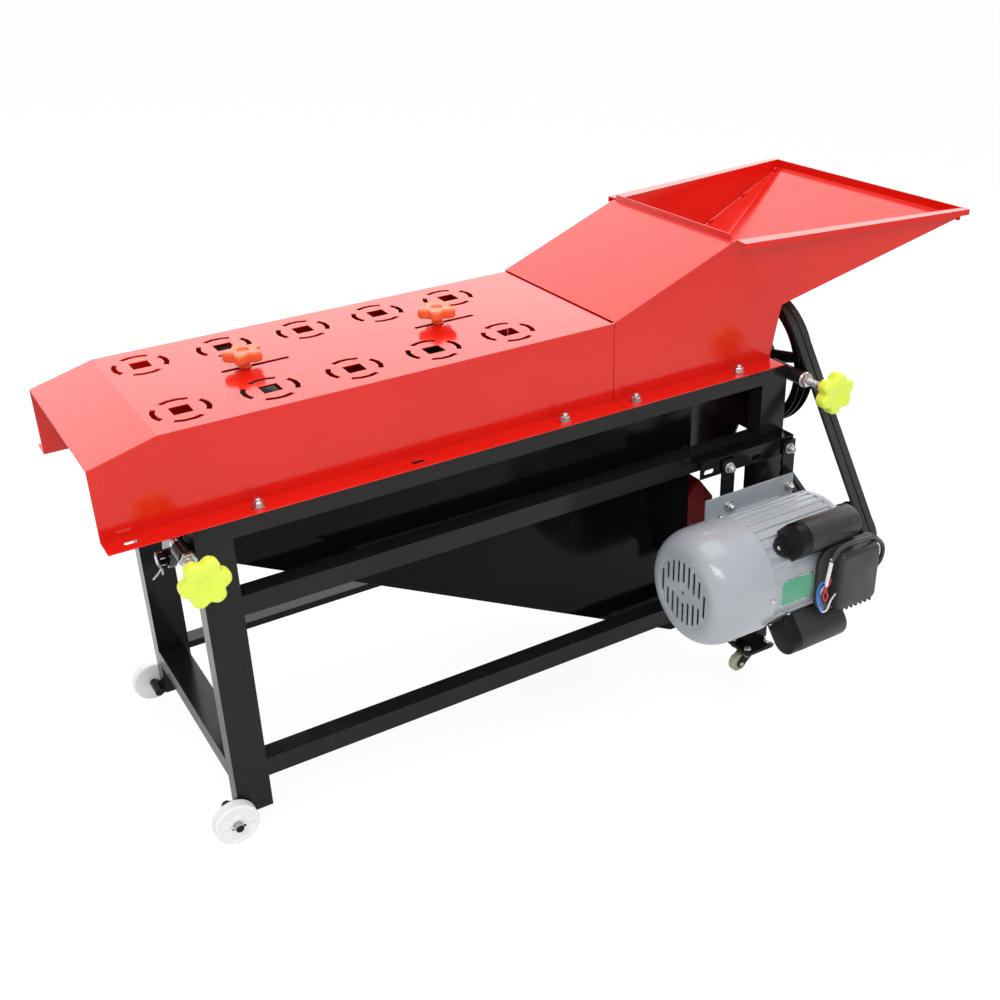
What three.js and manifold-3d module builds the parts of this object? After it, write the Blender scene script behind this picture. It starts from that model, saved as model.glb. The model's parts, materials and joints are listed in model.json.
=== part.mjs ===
// Corn husker: roller deck under a red cover, feed hopper, steel frame on wheels, belt drive from a motor.
// Lengths are millimetres. x runs along the deck from the husk end to the hopper end, y across it with the
// motor on the minus side, z square to the deck. The finished machine is tilted so that it stands level.

import * as THREE from 'three';
import { mergeVertices } from 'three/addons/utils/BufferGeometryUtils.js';
import Module from 'manifold-3d';

const wasm = await Module();
wasm.setup();

// Frame
const frameLength = 980;
const frameWidth = 378;
const half = frameWidth / 2;
const deckTop = 498;          // top of the legs and top rails
const legWide = 50;
const legDeep = 30;
const legWall = 2.5;
const leftFoot = 34;          // height of the left leg ends
const rightFoot = -25;        // the hopper end stands on longer legs
const angleWide = 30;
const angleWall = 3;
const topRailDrop = 25;
const midRailTop = 386;
const bottomRailTop = 116;
const endRailWide = 42;
const seat = 0.3;             // gap between pieces that rest on each other
const weld = 1;               // how far welded members run into each other
const weldHalf = 3;
const overrun = 5;            // how far cutting tools pass through
const sheet = 1.5;            // sheet steel

// How far things along the deck stand before the hopper end of the frame; minus is past it
const fromEnd = {
  panel: 159, chuteTip: 186, hood: 108, hoodPeak: 137, seam: 314, wall: 9, elbow: -8, rim: 90, mouth: -326,
  floorApex: 28, throat: 55, barrel: 44, pulley: -30, caster: 35, hanger: [191, 2], hangerSlots: [174, 78],
};
const alongDeck = (distance) => frameLength - distance;

// Side panels, end plates and husk chute
const panelInset = 39;        // frame side to the outer face of each side panel
const panelFace = half - panelInset;
const panelEnd = alongDeck(fromEnd.panel);
const panelFlange = 16;
const chuteTop = 433;
const chuteShelf = 17;
const chuteTip = 38;
const chuteTipX = alongDeck(fromEnd.chuteTip);
const chuteRise = 3;
const plateThick = 4;
const plateLow = 428;
const plateHigh = 490;
const rightPlate = { low: 262, lowHalf: 50, step: 355, stepHalf: 84 };
const hoodEnd = alongDeck(fromEnd.hood);
const hoodPeakX = alongDeck(fromEnd.hoodPeak);
const hoodTop = 314;
const hoodEaves = [289, 276];
const hoodLow = 150;

// Cover
const coverLeft = -105.7;
const coverBend = -14.5;
const seamX = alongDeck(fromEnd.seam);
const coverHigh = 124;        // from the deck to the top sheet
const coverEndDrop = 24;
const coverInset = 34;        // frame side to the cover wall
const coverHalf = half - coverInset;
const flangeWide = 36;
const seamGap = 0.8;
const vent = {
  firstX: 37, margin: 58, count: 5, edge: 62, skewX: -1.5,
  square: 26, outer: 40, slotWide: 7, span: 62,
};
const ventPitch = (seamX - vent.margin) / vent.count;
const ventRowY = coverHalf - vent.edge;
const slideSlot = { firstX: 121.5, length: 99.5, margin: 74, wide: 8.6 };
const slidePitch = (seamX - slideSlot.margin) / 2;
const boltSlotLong = 20;
const boltSlotWide = 9;

// Hopper
const wallEnd = alongDeck(fromEnd.wall);
const elbowX = alongDeck(fromEnd.elbow);
const elbowZ = 585;
const rimLeftX = alongDeck(fromEnd.rim);
const rimLeftZ = 707;
const rimRightX = alongDeck(fromEnd.mouth);
const rimRightZ = 703;
const rimFlare = 66;          // how much wider each side is at the mouth
const rimRightHalf = coverHalf + rimFlare;
const rimStrip = { left: 23, right: 12 };
const rimLip = 9;
const endDrop = 13;           // depth of the fold at the mouth
const floorApexX = alongDeck(fromEnd.floorApex);
const floorApexZ = 562;
const throatX = alongDeck(fromEnd.throat);
const throatZ = 499;
const lidFold = 8;
const lidLip = 10;
const lidNotch = [7, 10];     // what is cut off the ends of the upstand, at its root and at its top

// Bolts along the cover flanges: the first, two beside the seam, and one before the wall end
const boltGap = { first: 94, seam: [99, 28], wall: 79, line: 18, spare: [-72, 340] };
const boltXs = [boltGap.first, seamX - boltGap.seam[0], seamX + boltGap.seam[1], wallEnd - boltGap.wall];
const boltLine = coverHalf + boltGap.line;
const spareSlotXs = [boltGap.spare[0], seamX - boltGap.spare[1]];

// Rollers
const rollerCount = 6;
const rollerMargin = 51;
const rollerGap = 0.4;
const rollerPitch = (frameWidth - 2 * rollerMargin) / rollerCount;
const rollerRadius = rollerPitch / 2 - rollerGap;
const rollerZ = 466;
const rollerStart = 12;
const firstY = (1 - rollerCount) * rollerPitch / 2;
const shaftRadius = 9;
const shaftClear = 0.3;
const shaftFree = 2;
const shaftProud = 2;         // how far a shaft stands out of its housing
const pulleyShaftProud = 4;
const gearWide = 18;
const gearInset = 32;         // gap between barrel end and the far side of the end plate
const gearTeeth = 16;
const toothTall = 2.4;
const toothDeep = 3.2;
const bearingRadius = 19;
const bearingLong = 10.6;
const rootShares = [0.28, 0.1];

// Swing arms, screws and knobs
const pivotIn = 20;           // pivot and nose from the axis of the first roller
const noseOut = 18;
const pivotY = firstY + pivotIn;
const pivotZ = 421;
const pivotRadius = 8;
const pivotNut = 12;
const pivotNutThin = 3;
const pivotStud = 30;
const pivotTip = 1;
const pivotLug = 16;
const armThick = 10;
const armEyePivot = 15;
const armEyeShaft = 17;
const armNose = 8;
const armNoseY = firstY - noseOut;
const screwOffset = 11.8;     // screw axis to leg face
const screwZ = { left: 464, right: 478 };
const screwRadius = 6;
const bossRadius = 11.5;
const bossIn = 31;            // boss and knobs from the side face of the frame
const bossOut = { left: 1, right: 27 };
const knobOut = { left: 51, right: 77 };
const lockNutHigh = 10;
const lockNutFlat = 19;
const padRadius = 8;
const padHigh = 8;
const knobThick = 28;
const knobRadius = 29.5;
const knobLobe = 3.5;
const knobHub = 12;
const knobHubLong = 6;

// Press curtains and their knobs
const curtainFrom = { left: 34.5, right: 38.5 };  // from the start of its slot
const curtainX = {
  left: slideSlot.firstX + curtainFrom.left,
  right: slideSlot.firstX + slidePitch + curtainFrom.right,
};
const curtainInset = 30;
const curtainWide = 2 * (coverHalf - curtainInset);
const curtainThick = 5;
const curtainLow = 505;
const holderHigh = 22;
const holderDeep = 24;
const studRadius = 4;
const slideKnobRadius = 25;
const slideKnobLobe = 4;
const slideKnobThick = 15;
const slideKnobNeck = 14;
const slideNeckRadius = 11;
const studTop = 22;

// Belt drive
const pulleyX = alongDeck(fromEnd.pulley);
const pulleyWide = 32;
const bigPulleyRadius = 117;
const smallPulleyRadius = 48;
const beltWide = 12;
const beltHigh = 9;
const beltProud = 1;
const grooveClear = 0.5;
const rimThick = 16;
const spokeCount = 5;
const spokeWide = 20;
const spokeTurn = 14;
const hubRadius = 26;
const driveRoller = 2;

// Motor
const motorOut = 122;         // frame side to the motor axis
const motorY = -half - motorOut;
const motorZ = 234;
const bodyStart = -188;       // places along the motor are measured from the hopper end of the frame
const bodyEnd = -32;
const bodyRadius = 86;
const finCount = 26;
const finHigh = 3;
const finShares = [0.5, 0.55, 0.95];
const boreRadius = 46;
const rotorRadius = 45;
const rotorInset = 14;
const motorShaft = 12;
const coverFront = -294;
const coverBack = -190;
const coverRadius = 93;
const coverDisc = 63;
const domeStart = -248;
const shieldThick = 8;
const bellEnd = 5;
const bellRadius = 44;
const fanX = -268;
const fanDeep = 22;
const fanRadius = 58;
const fanDisc = 3;
const fanBlade = 1;
const fanRoot = 2;
const fanBlades = 8;
const slotWide = 5.5;
const slotPitch = 12.3;
const slotColumns = 4;
const slotHub = 17.5;         // the slots keep clear of this circle, and of a bar of half this height
const slotHalf = 8;
const slotReach = 53;
const fanCoverHole = 3;
const footHole = 66;
const footHalf = 86;
const footThick = 4;
const footStart = -184;
const footEnd = -3;
const footBoltX = [-138, -13];
const footWeb = 5;
const footWebZ = 50;
const capRadius = 24;
const capLong = 108;
const capStart = -154;
const capRise = 26;
const capOut = bodyRadius + finHigh + capRise;
const capAngle = 43;
const boxX = -87;
const boxWide = 80;
const boxHigh = 100;
const boxDeep = 30;
const boxZ = 4;
const boxCorner = 10;
const boxBaseX = -112;
const boxBaseWide = 120;
const boxBaseHigh = 112;
const boxBaseDeep = 7;
const boxBaseCorner = 26;
const cableRadius = 3.6;
const wireRadius = 1.3;
const wireTuck = 3;

// The motor lead, from the far wall of the terminal box over its top, and the three wires at its end
const leadEnd = [-112, -119, 54];
const leadRoute = [
  [-5.6, -105, 2.6], [0.8, -104.7, 4.2], [7, -104, 8], [11.6, -103.2, 13.8], [14.2, -102.4, 20.8],
  [14.4, -101.8, 28.4], [12.2, -101.4, 35.4], [7.8, -101.4, 41.6], [2.2, -102, 46.8], [-4, -103, 52.8],
  [-12.4, -104.8, 58.4], [-27, -108.6, 63.6], [-44, -113, 68.6], [-60, -116.5, 72.4], [-75, -118.4, 74.4],
  [-88, -119, 73.6], [-98.8, -119, 69.4], [-106.8, -119, 62.4], leadEnd,
];
const wireRoot = [leadEnd[0], leadEnd[1], leadEnd[2] + wireTuck];
const wireRoutes = [
  [wireRoot, [-118, -120, 16], [-124, -120, -8], [-118, -119, -24], [-89, -114, -16]],
  [wireRoot, [-124, -120, 24], [-132, -120, 6], [-128, -120, -14], [-89, -114, -26]],
  [wireRoot, [-112, -122, 28], [-118, -122, 8], [-116, -121, -6], [-89, -114, 6]],
];

// Motor hanger
const hangerLeft = alongDeck(fromEnd.hanger[0]);
const hangerRight = alongDeck(fromEnd.hanger[1]);
const hangerOut = 28;
const strapWide = 25;
const strapThick = 4;
const strapLow = 152;
const strapHigh = 380;
const hangerBoltZ = 366;
const hangerFace = -frameWidth / 2 - hangerOut;
const strapFace = hangerFace - seat - strapThick;
const footDistance = strapFace - seat - footThick - motorY;  // motor axis to the front of the foot plate
const hangerSlotX = fromEnd.hangerSlots.map(alongDeck);
const hangerSlotLong = 20;

// Bolts
const boltRadius = 4;
const boltHead = 6.5;
const nutHigh = 7;
const washerRadius = 9;
const washerThick = 1.6;
const boltTail = 6;
const washerless = 1;         // how much thinner the nut without a washer is

// Wheels and casters
const wheelRadius = 32.5;
const wheelWide = 18;
const wheelTread = 4;
const wheelRound = 2;
const wheelZ = 39;
const axleX = -10.5;
const axleRadius = 6;
const axleBoss = 10.2;
const wheelGap = 3.5;
const axleTip = 9;
const pinRadius = 1.5;
const casterX = alongDeck(fromEnd.caster);
const casterIn = 2;
const casterY = half - casterIn;
const casterPlate = [60, 56];
const casterPlateThick = 3;
const casterBolt = [22, 18];
const casterRace = 14;
const casterRaceHigh = 3;
const casterTrail = 27;
const casterDrop = 29;
const casterWheelRadius = 17;
const casterWheelRound = 3;
const casterWheelWide = 14;
const forkThick = 2.5;
const forkWide = 18;
const forkGap = 1;
const casterAxle = 4;
const casterPinProud = 2;

// Smoothness of round things
const sides = { fine: 24, round: 16, small: 10, tiny: 6 };

const finishes = {
  red: { color: 0xe02015, roughness: 0.3, metalness: 0.1 },
  black: { color: 0x0d0d0f, roughness: 0.25, metalness: 0.2 },
  darkRed: { color: 0x6a0808, roughness: 0.4, metalness: 0.1 },
  zinc: { color: 0xc9ccd0, roughness: 0.35, metalness: 0.9 },
  steel: { color: 0x9b9da0, roughness: 0.4, metalness: 0.9 },
  rubber: { color: 0x1c1c1c, roughness: 0.85, metalness: 0 },
  yellow: { color: 0xe6ff50, roughness: 0.45, metalness: 0 },
  orange: { color: 0xf4683a, roughness: 0.45, metalness: 0 },
  nylon: { color: 0xf0f0ee, roughness: 0.5, metalness: 0 },
  cream: { color: 0xd8dcb8, roughness: 0.5, metalness: 0 },
  motorGrey: { color: 0x9aa2aa, roughness: 0.3, metalness: 0.3 },
  plastic: { color: 0x151517, roughness: 0.45, metalness: 0 },
};

// Working with solids

function toSolid(geometry) {
  const bare = geometry.clone();
  bare.deleteAttribute('normal');
  bare.deleteAttribute('uv');
  const merged = mergeVertices(bare);
  return new wasm.Manifold(new wasm.Mesh({
    numProp: 3,
    vertProperties: new Float32Array(merged.attributes.position.array),
    triVerts: new Uint32Array(merged.index.array),
  }));
}

function toGeometry(solid) {
  const mesh = solid.getMesh();
  const geometry = new THREE.BufferGeometry();
  geometry.setAttribute('position', new THREE.BufferAttribute(new Float32Array(mesh.vertProperties), 3));
  geometry.setIndex(new THREE.BufferAttribute(new Uint32Array(mesh.triVerts), 1));
  geometry.computeVertexNormals();
  return geometry;
}

function join(...geometries) {
  return toGeometry(geometries.flat().map(toSolid).reduce((whole, next) => whole.add(next)));
}

function cut(geometry, ...tools) {
  const blank = toSolid(geometry);
  return toGeometry(tools.flat().map(toSolid).reduce((rest, tool) => rest.subtract(tool), blank));
}

// Outlines are lists of points in a plane

function circle(radius, centre = [0, 0], count = sides.round, turn = 0) {
  return Array.from({ length: count }, (_, i) => {
    const angle = turn + (i / count) * 2 * Math.PI;
    return [centre[0] + radius * Math.cos(angle), centre[1] + radius * Math.sin(angle)];
  });
}

function rectangle(low, high) {
  return [[low[0], low[1]], [high[0], low[1]], [high[0], high[1]], [low[0], high[1]]];
}

// The outline that a tight string takes round a set of points
function stringRound(points) {
  const sorted = [...points].sort((a, b) => a[0] - b[0] || a[1] - b[1]);
  const turnOf = (a, b, c) => (b[0] - a[0]) * (c[1] - a[1]) - (b[1] - a[1]) * (c[0] - a[0]);
  const chain = (list) => {
    const kept = [];
    for (const point of list) {
      while (kept.length > 1 && turnOf(kept.at(-2), kept.at(-1), point) <= 0) kept.pop();
      kept.push(point);
    }
    kept.pop();
    return kept;
  };
  return [...chain(sorted), ...chain(sorted.reverse())];
}

function obround(centre, length, width, count = sides.small) {
  const reach = (length - width) / 2;
  const end = (side) => circle(width / 2, [centre[0] + side * reach, centre[1]], count);
  return stringRound([...end(-1), ...end(1)]);
}

// A knob outline whose radius waves in and out once for each lobe
function lobed(radius, wave, lobes, count) {
  return Array.from({ length: count }, (_, i) => {
    const angle = (i / count) * 2 * Math.PI;
    const reach = radius + wave * Math.cos(lobes * angle);
    return [reach * Math.cos(angle), reach * Math.sin(angle)];
  });
}

// An outline of sheet metal: a centre-line path and the same path moved sideways by the thickness
function folded(path, thickness) {
  const normals = path.slice(1).map((point, i) => {
    const run = new THREE.Vector2(point[0] - path[i][0], point[1] - path[i][1]).normalize();
    return new THREE.Vector2(-run.y, run.x);
  });
  const moved = path.map((point, i) => {
    const before = normals[Math.max(i - 1, 0)];
    const after = normals[Math.min(i, normals.length - 1)];
    const mitre = before.clone().add(after).multiplyScalar(1 / (1 + before.dot(after)));
    return [point[0] + mitre.x * thickness, point[1] + mitre.y * thickness];
  });
  return [...path, ...moved.reverse()];
}

function shapeOf(outline, holes = []) {
  const shape = new THREE.Shape(outline.map(([a, b]) => new THREE.Vector2(a, b)));
  holes.forEach((hole) => shape.holes.push(new THREE.Path(hole.map(([a, b]) => new THREE.Vector2(a, b)))));
  return shape;
}

function extrude(outline, holes, depth) {
  return new THREE.ExtrudeGeometry(shapeOf(outline, holes), { depth, bevelEnabled: false });
}

// Outline in (y, z), run along x
function alongX(outline, start, end, holes = []) {
  const turn = new THREE.Matrix4().makeBasis(
    new THREE.Vector3(0, 1, 0), new THREE.Vector3(0, 0, 1), new THREE.Vector3(1, 0, 0),
  );
  return extrude(outline, holes, end - start).applyMatrix4(turn).translate(start, 0, 0);
}

// Outline in (x, z), run along y
function alongY(outline, start, end, holes = []) {
  const turn = new THREE.Matrix4().makeBasis(
    new THREE.Vector3(1, 0, 0), new THREE.Vector3(0, 0, 1), new THREE.Vector3(0, -1, 0),
  );
  return extrude(outline, holes, end - start).applyMatrix4(turn).translate(0, end, 0);
}

// Outline in (x, y), run along z
function alongZ(outline, start, end, holes = []) {
  return extrude(outline, holes, end - start).translate(0, 0, start);
}

// A turned piece whose profile is a list of [place along the axis, radius]
function turned(profile, count = sides.round) {
  const points = profile.map(([along, radius]) => new THREE.Vector2(radius, along));
  if (THREE.ShapeUtils.area(points) < 0) points.reverse();
  return new THREE.LatheGeometry(points, count);
}

function turnedX(profile, count) {
  return turned(profile, count).rotateZ(-Math.PI / 2);
}

// A flat plate through corner points in space, thickened along its own normal
function plate(corners, thickness) {
  const points = corners.map((corner) => new THREE.Vector3(...corner));
  const across = points[1].clone().sub(points[0]).normalize();
  const normal = across.clone().cross(points[2].clone().sub(points[0])).normalize();
  const up = normal.clone().cross(across);
  const flat = points.map((point) => {
    const reach = point.clone().sub(points[0]);
    return [reach.dot(across), reach.dot(up)];
  });
  const origin = points[0].clone().addScaledVector(normal, Math.min(thickness, 0));
  const place = new THREE.Matrix4().makeBasis(across, up, normal).setPosition(origin);
  return extrude(flat, [], Math.abs(thickness)).applyMatrix4(place);
}

// A creased sheet from corner points and the faces between them, seen from above, thickened downwards
function creased(corners, faces, thickness) {
  const count = corners.length;
  const positions = [0, -thickness].flatMap((drop) => corners.flatMap(([x, y, z]) => [x, y, z + drop]));
  const edges = faces.flatMap(([a, b, c]) => [[a, b], [b, c], [c, a]]);
  const open = edges.filter(([a, b]) => !edges.some(([c, d]) => c === b && d === a));
  const index = [
    ...faces.flat(),
    ...faces.flatMap(([a, b, c]) => [c + count, b + count, a + count]),
    ...open.flatMap(([a, b]) => [a, a + count, b + count, a, b + count, b]),
  ];
  const geometry = new THREE.BufferGeometry();
  geometry.setAttribute('position', new THREE.BufferAttribute(new Float32Array(positions), 3));
  geometry.setIndex(index);
  geometry.computeVertexNormals();
  return geometry;
}

function mirrored(geometry) {
  const copy = geometry.clone().scale(1, -1, 1);
  const index = copy.index ? Array.from(copy.index.array) : null;
  if (!index) {
    const flipped = mergeVertices(copy);
    return mirrorFaces(flipped);
  }
  return mirrorFaces(copy);
}

function mirrorFaces(geometry) {
  const index = Array.from(geometry.index.array);
  for (let i = 0; i < index.length; i += 3) {
    [index[i], index[i + 1]] = [index[i + 1], index[i]];
  }
  geometry.setIndex(index);
  geometry.computeVertexNormals();
  return geometry;
}

// The scene graph

const deck = new THREE.Group();

function piece(parent, name, geometry, finish, place = [0, 0, 0]) {
  const mesh = new THREE.Mesh(geometry, new THREE.MeshStandardMaterial(finishes[finish]));
  mesh.name = name;
  mesh.position.set(...place);
  parent.add(mesh);
  return mesh;
}

const legInner = half - legDeep;
const bothSides = (geometry) => [geometry, mirrored(geometry)];

// Frame

function leg(start, foot) {
  const outer = rectangle([start, -half], [start + legWide, -legInner]);
  const inner = rectangle(
    [start + legWall, -half + legWall],
    [start + legWide - legWall, -legInner - legWall],
  );
  return alongZ(outer, foot, deckTop, [inner]);
}

function rightLeg() {
  const start = frameLength - legWide;
  const foot = alongZ(
    rectangle(
      [casterX - casterPlate[0] / 2, -casterY - casterPlate[1] / 2],
      [casterX + casterPlate[0] / 2, -casterY + casterPlate[1] / 2],
    ),
    rightFoot,
    rightFoot + casterPlateThick,
    casterHoles(-1),
  );
  return join(leg(start, rightFoot + casterPlateThick), foot);
}

function casterHoles(side) {
  return [-1, 1].flatMap((a) => [-1, 1].map((b) => circle(
    boltRadius + seat,
    [casterX + a * casterBolt[0], side * casterY + b * casterBolt[1]],
    sides.tiny,
  )));
}

function angleRail(top, drop) {
  return alongX([
    [-half, top], [-half, top - drop], [-half + angleWall, top - drop],
    [-half + angleWall, top - angleWall], [-half + angleWide, top - angleWall], [-half + angleWide, top],
  ], legWide - weld, frameLength - legWide + weld);
}

function endRail(outer, inner) {
  const toward = Math.sign(inner - outer);
  const low = bottomRailTop - angleWide;
  const outline = [
    [outer, bottomRailTop], [outer, low], [outer + toward * angleWall, low],
    [outer + toward * angleWall, bottomRailTop - angleWall], [inner, bottomRailTop - angleWall],
    [inner, bottomRailTop],
  ];
  return alongY(toward > 0 ? outline : outline.reverse(), -legInner + seat, legInner - seat);
}

function buildFrame() {
  const boltHoles = boltXs.filter((x) => x > legWide && x < frameLength - legWide).map((x) => alongZ(
    circle(boltRadius + seat, [x, -boltLine], sides.tiny),
    deckTop - angleWall - overrun,
    deckTop + overrun,
  ));
  const sideFrame = cut(join(
    leg(0, leftFoot),
    rightLeg(),
    angleRail(deckTop, topRailDrop),
    angleRail(midRailTop, angleWide),
    angleRail(bottomRailTop, angleWide),
    axle(),
  ), boltHoles);
  const bosses = ['left', 'right'].flatMap(screwBoss);
  piece(deck, 'frame_front', join(sideFrame, bosses), 'black');
  piece(deck, 'frame_back', mirrored(sideFrame), 'black');
  piece(deck, 'end_rail_left', endRail(0, endRailWide), 'black');
  piece(deck, 'end_rail_right', endRail(frameLength, frameLength - endRailWide), 'black');
}

// Side panels, end plates, husk chute and outlet hood

const chuteSlope = (chuteTop - chuteTip) / (chuteTipX - plateThick - chuteShelf);

function sidePanel() {
  const start = plateThick + seat;
  const wall = alongY([
    [start, chuteTop], [start + chuteShelf, chuteTop], [chuteTipX, chuteTip], [panelEnd, chuteTip],
    [panelEnd, deckTop - angleWall - seat], [start, deckTop - angleWall - seat],
  ], -panelFace, -panelFace + sheet);
  const flange = alongX(
    rectangle(
      [-panelFace - panelFlange, deckTop - angleWall - seat - sheet],
      [-panelFace + sheet, deckTop - angleWall - seat],
    ),
    legWide + seat,
    panelEnd,
  );
  return join(wall, flange);
}

// An end plate with its five bearing housings and the stud that the swing arm hangs on
function endPlate(side) {
  const left = side === 'left';
  const start = left ? 0 : frameLength - plateThick;
  const reach = legInner - seat;
  const outline = left ? rectangle([-reach, plateLow], [reach, plateHigh]) : [
    [-reach, rightPlate.step], [-rightPlate.stepHalf, rightPlate.step], [-rightPlate.lowHalf, rightPlate.low],
    [rightPlate.lowHalf, rightPlate.low], [rightPlate.stepHalf, rightPlate.step], [reach, rightPlate.step],
    [reach, plateHigh], [-reach, plateHigh],
  ];
  const sheetPlate = alongX(outline, start, start + plateThick);
  const lug = alongX(circle(pivotLug, [pivotY, pivotZ], sides.round), start, start + plateThick);
  const outward = left ? [-bearingLong, weld] : [frameLength - weld, frameLength + bearingLong];
  const housings = [];
  const bores = [];
  for (let number = 2; number <= rollerCount; number += 1) {
    const centre = [rollerY(number), rollerZ];
    housings.push(alongX(circle(bearingRadius, centre, sides.round), ...outward));
    bores.push(alongX(
      circle(shaftRadius + shaftClear, centre, sides.round),
      outward[0] - overrun * 2,
      outward[1] + overrun * 2,
    ));
  }
  const travelSlot = alongX(stringRound([
    ...circle(shaftRadius + shaftFree, [rollerY(1) + shaftFree / 2, rollerZ], sides.round),
    ...circle(shaftRadius + shaftFree, [rollerY(1) - armNose, rollerZ - 2 * shaftFree], sides.round),
  ]), start - overrun, start + plateThick + overrun);
  return cut(join(sheetPlate, lug, housings, armPivot(side)), bores, travelSlot);
}

function chuteFloor() {
  const lift = sheet + chuteRise;
  const start = plateThick + seat;
  const path = [
    [start, chuteTop + chuteRise], [start + chuteShelf, chuteTop + chuteRise],
    [chuteTipX, chuteTip + lift],
  ];
  return alongY(folded(path, sheet), -panelFace + sheet + seat, panelFace - sheet - seat);
}

function outletHood() {
  const start = panelEnd + seat;
  const cheek = alongY([
    [start, hoodLow], [hoodEnd, hoodLow], [hoodEnd, hoodEaves[1]],
    [hoodPeakX, hoodTop], [start, hoodEaves[0]],
  ], -panelFace, -panelFace + sheet);
  const roof = alongY(folded([
    [hoodEnd, hoodEaves[1]], [hoodPeakX, hoodTop], [start, hoodEaves[0]],
  ], sheet), -panelFace, panelFace);
  return join(bothSides(cheek), roof);
}

function rollerY(number) {
  return (number - (rollerCount + 1) / 2) * rollerPitch;
}

function buildPanels() {
  piece(deck, 'side_panel_front', sidePanel(), 'black');
  piece(deck, 'side_panel_back', mirrored(sidePanel()), 'black');
  piece(deck, 'end_plate_left', endPlate('left'), 'black');
  piece(deck, 'end_plate_right', endPlate('right'), 'black');
  piece(deck, 'husk_chute', chuteFloor(), 'black');
  piece(deck, 'husk_outlet_hood', outletHood(), 'darkRed');
}

// Cover

const flangeLow = deckTop + seat;
const coverTop = deckTop + coverHigh;

function ventCutters(x, y) {
  const reach = vent.square / 2;
  const square = rectangle([x - reach, y - reach], [x + reach, y + reach]);
  const steps = 3;
  const arcs = Array.from({ length: 4 }, (_, quarter) => {
    const angles = Array.from({ length: steps + 1 }, (_, i) => THREE.MathUtils.degToRad(
      quarter * 90 - vent.span / 2 + (i / steps) * vent.span,
    ));
    const on = (radius) => (angle) => [x + radius * Math.cos(angle), y + radius * Math.sin(angle)];
    return [...angles.map(on(vent.outer)), ...angles.reverse().map(on(vent.outer - vent.slotWide))];
  });
  return [square, ...arcs].map((outline) => alongZ(
    outline,
    coverTop - coverEndDrop - overrun,
    coverTop + overrun,
  ));
}

function flangeSlots(xs, long) {
  return xs.map((x) => alongZ(
    obround([x, -boltLine], long, boltSlotWide, sides.tiny),
    deckTop - overrun,
    deckTop + overrun,
  ));
}

function coverSheet() {
  const slope = coverEndDrop / (coverBend - coverLeft);
  const profile = (inset, below) => [
    [coverLeft - below, deckTop - below + seat], [seamX - seamGap + below, deckTop - below + seat],
    [seamX - seamGap + below, coverTop - inset], [coverBend, coverTop - inset],
    [coverLeft - below, coverTop - inset - slope * (coverBend - coverLeft + below)],
  ];
  const shell = cut(
    alongY(profile(0, 0), -coverHalf, coverHalf),
    alongY(profile(sheet, overrun), -coverHalf + sheet, coverHalf - sheet),
  );
  const flange = alongX(
    rectangle([-coverHalf - flangeWide, flangeLow], [-coverHalf + sheet, flangeLow + sheet]),
    coverLeft,
    seamX - seamGap,
  );
  const vents = Array.from({ length: vent.count }, (_, i) => [-1, 1].map((row) => ventCutters(
    vent.firstX + i * ventPitch + (row < 0 ? vent.skewX : 0),
    row * ventRowY,
  ))).flat(2);
  const slides = [0, 1].map((i) => alongZ(
    obround(
      [slideSlot.firstX + i * slidePitch + slideSlot.length / 2, 0],
      slideSlot.length,
      slideSlot.wide,
      sides.tiny,
    ),
    coverTop - overrun,
    coverTop + overrun,
  ));
  const slots = flangeSlots([...spareSlotXs, ...boltXs.filter((x) => x < seamX)], boltSlotLong);
  return cut(join(shell, bothSides(flange)), vents, slides, bothSidesAll(slots));
}

function bothSidesAll(list) {
  return list.flatMap(bothSides);
}

// Hopper

const rimStart = [rimLeftX, -coverHalf, rimLeftZ];
const rimEnd = [rimRightX, -rimRightHalf, rimRightZ];

// The flared part of the wall lies in the plane of the rim line and the elbow
function flareY(x, z) {
  const start = new THREE.Vector3(...rimStart);
  const normal = new THREE.Vector3(...rimEnd).sub(start)
    .cross(new THREE.Vector3(elbowX, -coverHalf, elbowZ).sub(start));
  return -coverHalf - (normal.x * (x - rimLeftX) + normal.z * (z - rimLeftZ)) / normal.y;
}

function hopperSide() {
  const low = flangeLow;
  const flat = alongY([
    [seamX, low], [wallEnd, low], [elbowX + weld, elbowZ], [rimLeftX + weld, rimLeftZ],
    [rimLeftX, rimLeftZ], [seamX, coverTop],
  ], -coverHalf, -coverHalf + sheet);
  const endZ = rimRightZ - endDrop;
  const flare = plate([
    rimStart, rimEnd, [rimRightX, flareY(rimRightX, endZ), endZ], [elbowX, -coverHalf, elbowZ],
  ].reverse(), -sheet);
  const outward = new THREE.Vector3(rimEnd[1] - rimStart[1], rimStart[0] - rimEnd[0], 0).normalize();
  const shift = (point, reach, drop) => [
    point[0] + outward.x * reach, point[1] + outward.y * reach, point[2] - drop,
  ];
  const strip = plate([
    shift(rimStart, -weld, 0), shift(rimStart, rimStrip.left, 0),
    shift(rimEnd, rimStrip.right, 0), shift(rimEnd, -weld, 0),
  ], -sheet);
  const lip = plate([
    shift(rimStart, rimStrip.left, 0), shift(rimStart, rimStrip.left, rimLip),
    shift(rimEnd, rimStrip.right, rimLip), shift(rimEnd, rimStrip.right, 0),
  ], -sheet);
  const flange = alongX(
    rectangle([-coverHalf - flangeWide, flangeLow], [-coverHalf + sheet, flangeLow + sheet]),
    seamX,
    wallEnd,
  );
  const slots = flangeSlots(boltXs.filter((x) => x > seamX), boltSlotLong);
  return cut(join(flat, flare, strip, lip, flange), slots);
}

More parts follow.
